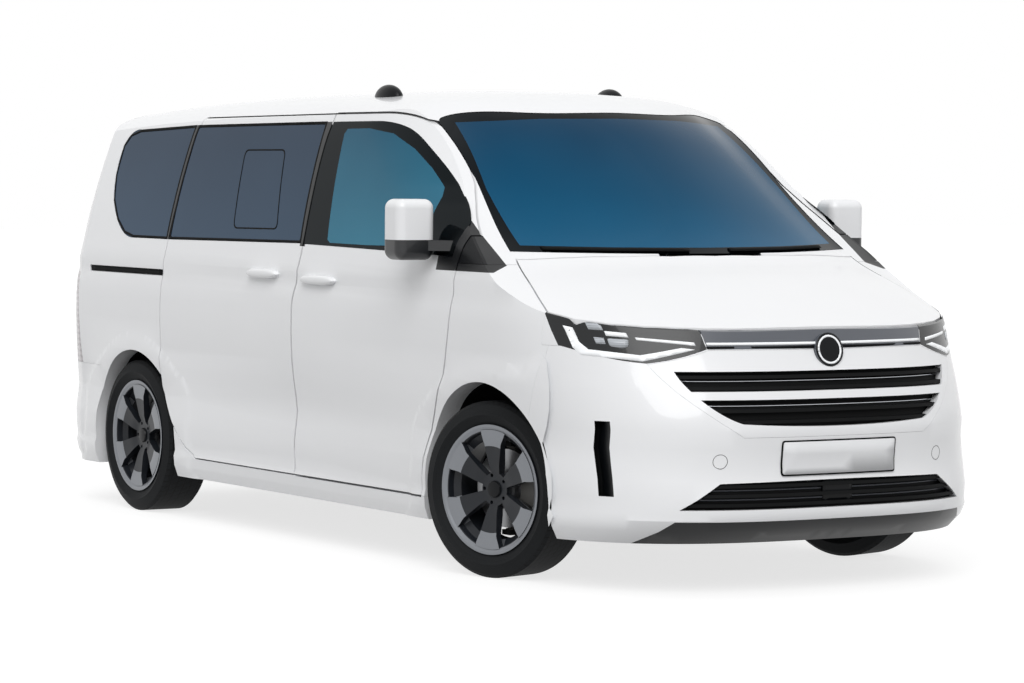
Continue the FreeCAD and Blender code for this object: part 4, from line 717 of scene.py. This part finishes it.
def met(tree, view, loop):
    """The places on a fine grid inside the loop that meet the surface, and how deep each lies."""
    direction, start = LOOK[view]
    xs, ys = [p[0] for p in loop], [p[1] for p in loop]
    across, up = max(xs) - min(xs), max(ys) - min(ys)
    columns = max(8, min(70, int(across / SURVEY_STEP)))
    rows = max(5, min(40, int(up / SURVEY_STEP)))
    places, depth = [], []
    for i in range(columns):
        for j in range(rows):
            a = min(xs) + (i + 0.5) * across / columns
            b = min(ys) + (j + 0.5) * up / rows
            if within((a, b), loop):
                distance = tree.ray_cast(start(a, b), direction)[3]
                if distance is not None:
                    places.append((a, b))
                    depth.append(distance)
    return places, depth


def sheet(loops, step):
    """Points and triangles that fill the first loop and leave the others open."""
    def covered(p):
        return within(p, loops[0]) and not any(within(p, h) for h in loops[1:])

    flat, edges = [], []
    for loop in loops:
        base = len(flat)
        flat += loop
        edges += [(base + i, base + (i + 1) % len(loop)) for i in range(len(loop))]
    xs, ys = [p[0] for p in loops[0]], [p[1] for p in loops[0]]
    rim = list(flat)
    a = min(xs) + step / 2
    while a < max(xs):
        b = min(ys) + step / 2
        while b < max(ys):
            if covered((a, b)) and min(math.hypot(a - p[0], b - p[1]) for p in rim) > step * 0.55:
                flat.append((a, b))
            b += step
        a += step
    points, _, faces, _, _, _ = delaunay_2d_cdt([Vector(p) for p in flat], edges, [], 0, 1e-7)
    middles = [sum((points[i] for i in face), Vector((0, 0))) / len(face) for face in faces]
    return points, [list(face) for face, middle in zip(faces, middles) if covered(middle)]


def laid(name, outline, view, node, finish, body, lift=1.2 * MM, thickness=3 * MM,
         step=0.03, hole=None, largest_jump=4 * MM, power=4):
    """A thin sheet with the given outline, laid on a node of the frame as seen along one axis."""
    direction, start = LOOK[view]
    points, kept = sheet([stepped(loop, step) for loop in (outline, hole) if loop], step)
    places, depth = met(survey(node), view, outline)
    level = evened([(p.x, p.y) for p in points], places, depth, power, largest_jump, name)
    top = [start(p.x, p.y) + direction * (d - lift) for p, d in zip(points, level)]
    back = [q + direction * thickness for q in top]
    count = len(points)
    first = kept[0]
    normal = (top[first[1]] - top[first[0]]).cross(top[first[2]] - top[first[0]])
    if normal.dot(direction) > 0:
        kept = [list(reversed(f)) for f in kept]
    made = [list(f) for f in kept] + [[count + i for i in reversed(f)] for f in kept]
    border = {}
    for f in kept:
        for i, j in edges_of(f):
            if (j, i) in border:
                del border[(j, i)]
            else:
                border[(i, j)] = True
    made += [[j, i, count + i, count + j] for i, j in border]
    piece = solid_piece(name, top + back, made, finish, body)
    piece.data.polygons.foreach_set("use_smooth", [k < len(kept) for k in range(len(made))])
    return piece


def skin(rings, count):
    """The faces of a closed tube of points: its walls, ring after ring, then its two ends."""
    faces = []
    for r in range(rings - 1):
        for i in range(count):
            j = (i + 1) % count
            faces.append([r * count + i, r * count + j, (r + 1) * count + j, (r + 1) * count + i])
    faces.append(list(reversed(range(count))))
    faces.append([(rings - 1) * count + i for i in range(count)])
    return faces


def turned(name, profile, centre, axis, finish, body, count=32):
    """A turned piece from a profile of distance along the axis and radius."""
    axis = Vector(axis).normalized()
    side = axis.orthogonal().normalized()
    up = axis.cross(side)
    points = []
    for along, radius in profile:
        middle = Vector(centre) + axis * along
        for i in range(count):
            angle = 2 * math.pi * i / count
            points.append(middle + (side * math.cos(angle) + up * math.sin(angle)) * radius)
    faces = skin(len(profile), count)
    piece = solid_piece(name, points, faces, finish, body)
    piece.data.polygons.foreach_set("use_smooth", [True] * (len(faces) - 2) + [False, False])
    piece.data.set_sharp_from_angle(angle=TURNED_CRISP)
    return piece


# Outlines seen from the side: distance forward of the middle and height, in metres
DOOR_CLEAR = [(0.985, 1.296), (0.50, 1.290), (0.185, 1.292), (0.160, 1.305), (0.072, 1.755), (0.085, 1.776),
              (0.27, 1.778), (0.47, 1.756), (0.66, 1.692), (0.82, 1.615), (0.955, 1.535), (0.975, 1.500)]
SLIDING_WINDOW = [(-0.066, 1.284), (-0.085, 1.50), (-0.112, 1.808), (-0.72, 1.803), (-1.322, 1.796),
                  (-1.322, 1.272), (-0.70, 1.278)]
QUARTER_WINDOW = [(-1.342, 1.272), (-1.342, 1.796), (-1.900, 1.776), (-1.990, 1.755), (-2.035, 1.700),
                  (-2.030, 1.560), (-1.985, 1.440), (-1.900, 1.350), (-1.800, 1.290), (-1.700, 1.272)]
SLIDING_PANEL = [(-0.787, 1.686), (-0.409, 1.688), (-0.303, 1.338), (-0.715, 1.334)]
# Outlines seen from the front: distance to the left of the middle and height, in metres
SCREEN = [(-0.822, 1.291), (-0.41, 1.284), (0.0, 1.282), (0.41, 1.284), (0.822, 1.291), (0.786, 1.425),
          (0.752, 1.568), (0.735, 1.688), (0.722, 1.782), (0.712, 1.806), (0.680, 1.822), (0.350, 1.841),
          (0.0, 1.846), (-0.350, 1.841), (-0.680, 1.822), (-0.712, 1.806), (-0.722, 1.782), (-0.735, 1.688),
          (-0.752, 1.568), (-0.786, 1.425)]
TAIL_WINDOW = [(-0.730, 1.270), (0.0, 1.262), (0.730, 1.270), (0.716, 1.480), (0.668, 1.700), (0.634, 1.790),
               (0.0, 1.808), (-0.634, 1.790), (-0.668, 1.700), (-0.716, 1.480)]
# Pieces in the right lamp: name, outline, finish, corner radius and the largest jump in the surface under it
LAMP_PIECES = (
    ("running_light_", [(-0.918, 1.018), (-0.905, 0.935), (-0.890, 0.908), (-0.735, 0.889), (-0.556, 0.935),
                        (-0.604, 0.941), (-0.738, 0.912), (-0.872, 0.930), (-0.890, 0.958), (-0.899, 1.011)],
     "light", 0, 0.05),
    ("lamp_bar_", [(-0.826, 1.001), (-0.768, 0.995), (-0.763, 0.978), (-0.823, 0.983)], "light", 0, 0.03),
    ("lamp_line_", [(-0.744, 0.979), (-0.556, 0.962), (-0.553, 0.949), (-0.741, 0.969)], "light", 0, 0.03),
    ("lamp_beam_", [(-0.822, 0.974), (-0.764, 0.970), (-0.768, 0.943), (-0.785, 0.937), (-0.818, 0.944)],
     "lens", 0.008, 0.03),
    ("lamp_block_0_", [(-0.868, 1.032), (-0.832, 1.029), (-0.828, 1.003), (-0.864, 1.006)], "lens", 0, 0.03),
    ("lamp_block_1_", [(-0.855, 0.977), (-0.830, 0.975), (-0.828, 0.951), (-0.851, 0.953)], "lens", 0, 0.03),
)
# Lines across the grilles: name, height, half length and finish
GRILLE_LINES = (("grille_line_0", 0.815, 0.625, "chrome"), ("grille_line_1", 0.722, 0.575, "chrome"),
                ("lower_grille_line_0", 0.402, 0.56, "band"), ("lower_grille_line_1", 0.367, 0.61, "band"))
SCREEN_WIPERS = (((-0.70, 1.300), (-0.44, 1.296), (-0.10, 1.294)),
                 ((0.10, 1.294), (0.38, 1.296), (0.66, 1.301)))
# Red pieces at the tail: name, node beneath, inner and outer edge, foot and top, and the step of its points
TAIL_PIECES = (("tail_lamp_red_", "tail_lamps", 0.84, 0.955, 0.76, 0.90, 0.015),
               ("tail_lamp_upper_", "tail_lamps", 0.83, 0.93, 0.98, 1.045, 0.015),
               ("rear_reflector_", "rear_bumper", 0.70, 0.86, 0.375, 0.41, 0.02))
# Seats: name, place of the rear edge of the cushion, distance to the left of the middle, width
SEATS = (("front_left", 0.18, 0.4, 0.50), ("front_right", 0.18, -0.4, 0.50),
         ("middle_left", -0.78, 0.4, 0.50), ("middle_right", -0.78, -0.4, 0.50),
         ("rear_left", -1.64, 0.40, 0.50), ("rear_right", -1.64, -0.40, 0.50),
         ("rear_centre", -1.64, 0.0, 0.28))


class MINIBUS_OT_body(bpy.types.Operator):
    """Paints the shell and finishes the cabin, chassis and running gear of the frame"""
    bl_idname = "minibus.body"
    bl_label = "Body and chassis"

    def execute(self, context):
        finishes = {
            "enamel": ["side_panel_left", "side_panel_right", "roof_panel", "fenders", "front_bumper",
                       "rear_bumper", "grille_surround", "bonnet", "front_door_left", "front_door_right",
                       "sliding_door_left", "sliding_door_right", "tailgate"],
            "screen": ["windscreen"],
            "door_glass": ["front_door_glass_left", "front_door_glass_right"],
            "privacy": ["sliding_door_glass", "quarter_glass", "tailgate_glass"],
            "lamp_housing": ["headlamps"],
            "band": ["light_band"],
            "tail_lens": ["tail_lamps"],
            "grained": ["grilles", "cowl_panel", "dashboard", "steering_wheel"],
            "frame_black": ["pillar_trims", "roof_pods"],
            "felt": ["wheel_arch_liners"],
            "chassis": ["front_suspension", "rear_axle", "engine_block", "fuel_tank", "exhaust"],
            "iron": ["knuckle_left", "knuckle_right"],
            "disc": ["brake_disc_front_left", "brake_disc_front_right", "brake_disc_rear_left",
                     "brake_disc_rear_right"],
            "carpet": ["floor_pan"],
            "mirror_shell": ["mirror_left", "mirror_right"],
        }
        for name, nodes in finishes.items():
            for node in nodes:
                wear(node, name)
        return {"FINISHED"}


class MINIBUS_OT_glazing(bpy.types.Operator):
    """Lays the black frames, borders and seals round the windows"""
    bl_idname = "minibus.glazing"
    bl_label = "Window frames"

    def execute(self, context):
        border = context.scene.minibus_body.frame_edge
        for side in ("right", "left"):
            laid("sliding_window_frame_" + side, rounded(SLIDING_WINDOW, 0.01), side, "sliding_door_glass",
                 "seal", "body", hole=rounded(inset(SLIDING_WINDOW, border), 0.012))
            laid("quarter_window_frame_" + side, QUARTER_WINDOW, side, "quarter_glass", "seal", "body",
                 hole=inset(QUARTER_WINDOW, border))
            laid("sliding_vent_line_" + side, rounded(SLIDING_PANEL, 0.035), side, "sliding_door_glass",
                 "seal", "body", hole=rounded(inset(SLIDING_PANEL, 0.006), 0.03), step=0.02)
        laid("tailgate_window_border", TAIL_WINDOW, "rear", "tailgate_glass", "seal", "tailgate",
             hole=rounded(inset(TAIL_WINDOW, 0.03), 0.05), step=0.035)
        return {"FINISHED"}


def plate(prefix, view, node, body, low, high):
    """A blank number plate in its dark frame, between two heights."""
    half = bpy.context.scene.minibus_front.plate_length / 2 + PLATE_RIM
    outline = box(-half, low, half, high)
    laid(prefix + "plate_frame", rounded(outline, 0.014), view, node, "seal", body, step=0.05,
         lift=4 * MM)
    laid(prefix + "plate_blank", rounded(inset(outline, 0.006), 0.010), view, node, "plate", body, step=0.05,
         lift=6 * MM)


class MINIBUS_OT_front(bpy.types.Operator):
    """Builds the lamp interiors, light band, grille lines, plate, sensors and wipers"""
    bl_idname = "minibus.front"
    bl_label = "Front details"

    def execute(self, context):
        looks = context.scene.minibus_front
        for side, turn in (("right", list), ("left", swapped)):
            for name, outline, finish, corner, jump in LAMP_PIECES:
                outline = rounded(turn(outline), corner) if corner else turn(outline)
                laid(name + side, outline, "front", "headlamps", finish, "body", step=0.012,
                     largest_jump=jump)
            laid("sensor_line_" + side, turn(circle(-0.5175, 0.514, 0.028)), "front", "front_bumper", "seal",
                 "body", lift=0.4 * MM, step=0.01, hole=turn(circle(-0.5175, 0.514, 0.0262)))
        laid("band_light_line", [(-0.520, 0.961), (0.520, 0.961), (0.518, 0.951), (-0.518, 0.951)], "front",
             "light_band", "light", "body", step=0.03, largest_jump=0.02, lift=2.5 * MM, power=6)
        laid("band_under_line", [(-0.516, 0.946), (0.516, 0.946), (0.514, 0.9385), (-0.514, 0.9385)],
             "front", "light_band", "seal", "body", step=0.03, largest_jump=0.02)
        laid("nose_disc_field", circle(0.0, 0.9305, 0.0645), "front", "light_band", "frame_black", "body",
             step=0.012, power=1, lift=1 * MM)
        laid("nose_disc_ring", circle(0.0, 0.9305, 0.056), "front", "light_band", "light", "body",
             step=0.006, power=1, lift=2 * MM, hole=circle(0.0, 0.9305, 0.048))
        h = looks.slat_line / 2
        for name, z, half, finish in GRILLE_LINES:
            laid(name, box(-half, z - h, half, z + h), "front", "grilles", finish, "body", step=0.04,
                 largest_jump=0.02, lift=2 * MM)
        laid("radar_cover", rounded(box(-0.07, 0.348, 0.07, 0.430), 0.008), "front", "grilles",
             "frame_black", "body", step=0.01, lift=4 * MM, thickness=8 * MM, power=1,
             largest_jump=0.006)
        foot = 0.466
        plate("", "front", "front_bumper", "body", foot - PLATE_RIM, foot + looks.plate_height + PLATE_RIM)
        for i, chain in enumerate(SCREEN_WIPERS):
            laid(f"wiper_blade_{i}", ribbon(chain, 0.012), "front", "windscreen", "seal", "body", step=0.03,
                 lift=14 * MM, thickness=12 * MM, largest_jump=0.05)
        return {"FINISHED"}


def pull_handle(name, middle, half, body):
    """A rounded pull handle that swells at its middle."""
    points = []
    rows, count = 22, 20
    for r in range(rows + 1):
        t = 2 * r / rows - 1
        size = max(0.02, (1 - abs(t) ** 3.2) ** 0.5)
        for i in range(count):
            angle = 2 * math.pi * i / count
            c, w = math.cos(angle), math.sin(angle)
            round_off = (abs(c) ** 3 + abs(w) ** 3) ** (-1 / 3)
            spot = Vector((half[0] * t, half[1] * c * round_off * (0.55 + 0.45 * size),
                           half[2] * w * round_off * size))
            points.append(Vector(middle) + spot)
    return solid_piece(name, points, skin(rows + 1, count), "enamel", body, smooth=True)


class MINIBUS_OT_sides(bpy.types.Operator):
    """Adds the door handles, rail slot lining and mirror glasses"""
    bl_idname = "minibus.sides"
    bl_label = "Side details"

    def execute(self, context):
        for side, sign in (("right", -1), ("left", 1)):
            door = "front_door_" + side
            laid("rail_lining_" + side, box(-2.105, 1.106, -1.340, 1.132), side, "side_panel_" + side,
                 "seal", "body", lift=6 * MM, step=0.05, largest_jump=0.004)
            for name, x, z, half, body in (("front_handle_", 0.152, 1.133, 0.142, door),
                                           ("sliding_handle_", -0.345, 1.146, 0.134, "body")):
                pull_handle(name + side, (x, sign * 0.997, z), (half, 0.024, 0.0215), body)
            outline = rounded(box(sign * 1.010, 1.270, sign * 1.150, 1.465), 0.03)
            laid("mirror_glass_" + side, outline, "rear", "mirror_" + side, "silvered", door,
                 lift=0.8 * MM, step=0.03, largest_jump=0.02)
        return {"FINISHED"}


class MINIBUS_OT_rear(bpy.types.Operator):
    """Adds the rear plate, pull bar, reflectors, lamp bands and wiper"""
    bl_idname = "minibus.rear"
    bl_label = "Rear details"

    def execute(self, context):
        plate("rear_", "rear", "tailgate", "tailgate", 0.865, 1.00)
        bar = rounded([(-0.42, 1.03), (0.42, 1.03), (0.40, 1.075), (-0.40, 1.075)], 0.015)
        laid("tailgate_pull_bar", bar, "rear", "tailgate", "chrome", "tailgate", step=0.05,
             lift=12 * MM, thickness=16 * MM)
        blade = ribbon([(0.0, 1.285), (0.20, 1.300), (0.42, 1.318)], 0.014)
        laid("rear_wiper", blade, "rear", "tailgate_glass", "seal", "tailgate", step=0.03,
             lift=12 * MM, thickness=10 * MM)
        for side, sign in (("right", -1), ("left", 1)):
            for name, node, inner, outer, foot, top, step in TAIL_PIECES:
                laid(name + side, rounded(box(sign * inner, foot, sign * outer, top), 0.01), "rear", node,
                     "red_lens", "body", step=step, largest_jump=0.03)
        return {"FINISHED"}


def dress_wheel(joint):
    """Finishes one road wheel and its tyre, and adds the nuts and the cap."""
    body = joint["child"]
    end = body[len("wheel_"):]
    axis, centre = Vector(joint["axis"]), Vector(joint["pos_m"])
    turn = math.atan2(-axis.x, axis.y)
    outward = axis if centre.y > 0 else -axis
    wear(body, wheel_material("machined_cast_alloy_" + end, centre, turn))
    wear("tyre_" + end, tyre_material("moulded_tyre_rubber_" + end, centre, turn))
    upward = Vector((0, 0, 1))
    sideways = outward.cross(upward).normalized()
    for i in range(5):
        angle = 2 * math.pi * (i + 0.5) / 5
        spot = centre + (sideways * math.cos(angle) + upward * math.sin(angle)) * BOLT_CIRCLE
        turned(f"wheel_nut_{i}_{end}", NUT, spot, outward, "frame_black", body, count=6)
    turned("wheel_cap_" + end, CAP, centre, outward, "frame_black", body)


class MINIBUS_OT_wheels(bpy.types.Operator):
    """Finishes the road wheels and tyres and adds their nuts and caps"""
    bl_idname = "minibus.wheels"
    bl_label = "Wheels and tyres"

    def execute(self, context):
        for joint in frame["joints"]:
            if joint["child"].startswith("wheel_"):
                dress_wheel(joint)
        return {"FINISHED"}


def cushion(name, size, middle, lean, channels):
    """A stuffed pad: crowned faces that pull in at the rim, with sewn channels across it."""
    length, width, height = size
    crown = bpy.context.scene.minibus_seats.crown
    count = 22
    points, faces, index = [], [], {}
    for layer in (1, -1):
        for i in range(count + 1):
            for j in range(count + 1):
                u, v = 2 * i / count - 1, 2 * j / count - 1
                rim = i in (0, count) or j in (0, count)
                if rim and layer < 0:
                    index[(layer, i, j)] = index[(1, i, j)]
                    continue
                full = ((1 - abs(u) ** 4) * (1 - abs(v) ** 4)) ** 0.38
                pull_v = 1 - 0.035 * (1 - u * u) * abs(v) ** 3
                pull_u = 1 - 0.035 * (1 - v * v) * abs(u) ** 3
                squareness = 1 - 0.10 * (u * u * v * v)
                z = layer * height / 2 * full + layer * crown * (1 - u * u) * (1 - v * v)
                for c in channels:
                    z -= layer * 0.010 * math.exp(-((u - c) / 0.035) ** 2) * (1 - v ** 6)
                index[(layer, i, j)] = len(points)
                points.append(Vector((u * length / 2 * pull_u * squareness,
                                      v * width / 2 * pull_v * squareness, z)))
        for i in range(count):
            for j in range(count):
                quad = [index[(layer, i + a, j + b)] for a, b in ((0, 0), (1, 0), (1, 1), (0, 1))]
                faces.append(quad if layer > 0 else list(reversed(quad)))
    turn = Matrix.Rotation(lean, 3, "Y")
    points = [turn @ p + Vector(middle) for p in points]
    piece = solid_piece(name, points, faces, "cloth", "body", smooth=True)
    return piece


def pedestal(name, middle, size):
    """A moulded seat base that narrows downwards."""
    length, width, height = size
    rings = ((0.0, 0.90), (0.06, 0.86), (0.80, 0.90), (0.94, 0.99), (1.0, 0.96))
    points = []
    for level, share in rings:
        a, b = length / 2 * share, width / 2 * share
        outline = rounded(box(-a, -b, a, b), 0.06, 6)
        points += [Vector((middle[0] + p, middle[1] + q, middle[2] + level * height)) for p, q in outline]
    return solid_piece(name, points, skin(len(rings), len(points) // len(rings)), "grained", "body")


def seat(name, x, y, width):
    """One padded seat: base, cushion, back and head rest on two rods."""
    # the first seat of each row stands for the plain solid of the row
    stood_for = {"front_left": "front_seats", "middle_left": "middle_seats", "rear_left": "rear_bench"}
    lean = math.atan2(0.17, 0.60)
    pedestal("seat_base_" + name, (x + 0.235, y, 0.422), (0.44, width * 0.86, 0.235))
    pad = cushion("seat_cushion_" + name, (0.475, width, 0.125), (x + 0.270, y, 0.722), math.radians(-3),
                  (-0.35, 0.1, 0.5))
    back = cushion("seat_back_" + name, (0.600, width * 0.96, 0.105), (x - 0.035, y, 1.080),
                   math.radians(-90) - lean, (-0.45, 0.0, 0.45))
    rest = cushion("head_rest_" + name, (0.165, 0.245, 0.075), (x - 0.118, y, 1.505), math.radians(-96),
                   ())
    if name in stood_for:
        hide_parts(stood_for[name])
    for i, offset in enumerate((-0.06, 0.06)):
        foot = (x - 0.115, y + offset, 1.36)
        turned(f"rest_rod_{i}_{name}", ROD, foot, (0, 0, 1), "chrome", "body", count=10)


class MINIBUS_OT_seats(bpy.types.Operator):
    """Builds the padded seats in place of the plain seat solids"""
    bl_idname = "minibus.seats"
    bl_label = "Seats"

    def execute(self, context):
        for row in SEATS:
            seat(*row)
        return {"FINISHED"}


def seen_share(tree):
    """One for rays that show a thing to the eye, and nought for the light that it throws."""
    rays = add(tree, "ShaderNodeLightPath").outputs
    return largest(rays["Is Camera Ray"], rays["Is Glossy Ray"], rays["Is Transmission Ray"])


def paper_material():
    """Matt paper sweep: it shows white and throws little light up at the vehicle."""
    paper, tree, shader = blank("matt_white_paper")
    join(shader, Base_Color=mottle(tree, "9C9C9C", 0.5, 0.005)[0], Roughness=0.9, Specular_IOR_Level=0.1,
         Emission_Color=(1, 1, 1, 1), Emission_Strength=times(seen_share(tree), 0.74))
    return paper


def lay_floor(scene):
    """A wide paper floor under the vehicle."""
    mesh = bpy.data.meshes.new("stage_floor")
    ends = [(a, b, 0) for a, b in box(-FLOOR_REACH, -FLOOR_REACH, FLOOR_REACH, FLOOR_REACH)]
    mesh.from_pydata(ends, [], [[0, 1, 2, 3]])
    floor = bpy.data.objects.new("stage_floor", mesh)
    scene.collection.objects.link(floor)
    mesh.materials.append(paper_material())


def light_studio(scene):
    """An even white sky and the wide sky lamps."""
    world = bpy.data.worlds.new("studio")
    scene.world = world
    world.use_nodes = True
    tree = world.node_tree
    tree.nodes.clear()
    strength = plus(times(seen_share(tree), SKY_SEEN), SKY_LIGHT)
    background = add(tree, "ShaderNodeBackground", None, Color=(1, 1, 1, 1), Strength=strength)
    add(tree, "ShaderNodeOutputWorld", None, i0=background.outputs[0])
    for name, way, power, width in SKY_LAMPS:
        light = bpy.data.lights.new(name, "SUN")
        light.energy = power
        light.angle = math.radians(width)
        lamp = bpy.data.objects.new(name, light)
        lamp.rotation_mode = "QUATERNION"
        lamp.rotation_quaternion = (-Vector(way)).to_track_quat("-Z", "Y")
        scene.collection.objects.link(lamp)


def set_camera(scene):
    """The long lens that matches the photograph."""
    azimuth, elevation, roll = math.radians(AZIMUTH), math.radians(ELEVATION), math.radians(ROLL)
    back = Vector((math.sin(azimuth) * math.cos(elevation), -math.cos(azimuth) * math.cos(elevation),
                   math.sin(elevation)))
    level = (-back).cross(Vector((0, 0, 1))).normalized()
    upright = level.cross(-back)
    right = level * math.cos(roll) + upright * math.sin(roll)
    up = upright * math.cos(roll) - level * math.sin(roll)
    lens = bpy.data.cameras.new("long_lens")
    lens.sensor_width = SENSOR_WIDTH
    lens.lens = FOCAL_LENGTH
    lens.shift_x, lens.shift_y = LENS_SHIFT
    lens.clip_end = 200.0
    camera = bpy.data.objects.new("camera", lens)
    scene.collection.objects.link(camera)
    turn = Matrix((right, up, back)).transposed().to_4x4()
    camera.matrix_world = Matrix.Translation(CAMERA_PLACE) @ turn
    scene.camera = camera


class MINIBUS_OT_stage(bpy.types.Operator):
    """Sets the pale floor, soft light and the camera"""
    bl_idname = "minibus.stage"
    bl_label = "Stage"

    def execute(self, context):
        lay_floor(context.scene)
        light_studio(context.scene)
        set_camera(context.scene)
        context.scene.view_settings.view_transform = "Standard"
        return {"FINISHED"}


class MINIBUS_PT_panel(bpy.types.Panel):
    """Lists the minibus pieces in the sidebar"""
    bl_label = "Minibus"
    bl_idname = "MINIBUS_PT_panel"
    bl_space_type = "VIEW_3D"
    bl_region_type = "UI"
    bl_category = "Minibus"

    def draw(self, context):
        for kind in OPERATORS:
            self.layout.operator(kind.bl_idname)
        for group in GROUPS:
            settings = getattr(context.scene, group)
            for name in settings.bl_rna.properties.keys():
                if name not in ("rna_type", "name"):
                    self.layout.prop(settings, name)


OPERATORS = (MINIBUS_OT_body, MINIBUS_OT_glazing, MINIBUS_OT_front, MINIBUS_OT_sides, MINIBUS_OT_rear,
             MINIBUS_OT_wheels, MINIBUS_OT_seats, MINIBUS_OT_stage)
GROUPS = {"minibus_body": BodyLooks, "minibus_front": FrontLooks, "minibus_wheels": WheelLooks,
          "minibus_seats": SeatLooks}


def register():
    for name, group in GROUPS.items():
        bpy.utils.register_class(group)
        setattr(bpy.types.Scene, name, bpy.props.PointerProperty(type=group))
    for kind in OPERATORS + (MINIBUS_PT_panel,):
        bpy.utils.register_class(kind)


def unregister():
    for kind in reversed(OPERATORS + (MINIBUS_PT_panel,)):
        bpy.utils.unregister_class(kind)
    for name, group in GROUPS.items():
        delattr(bpy.types.Scene, name)
        bpy.utils.unregister_class(group)


def main():
    register()
    bpy.ops.minibus.body()
    bpy.ops.minibus.glazing()
    bpy.ops.minibus.front()
    bpy.ops.minibus.sides()
    bpy.ops.minibus.rear()
    bpy.ops.minibus.wheels()
    bpy.ops.minibus.seats()
    bpy.ops.minibus.stage()


if __name__ == "__main__":
    main()
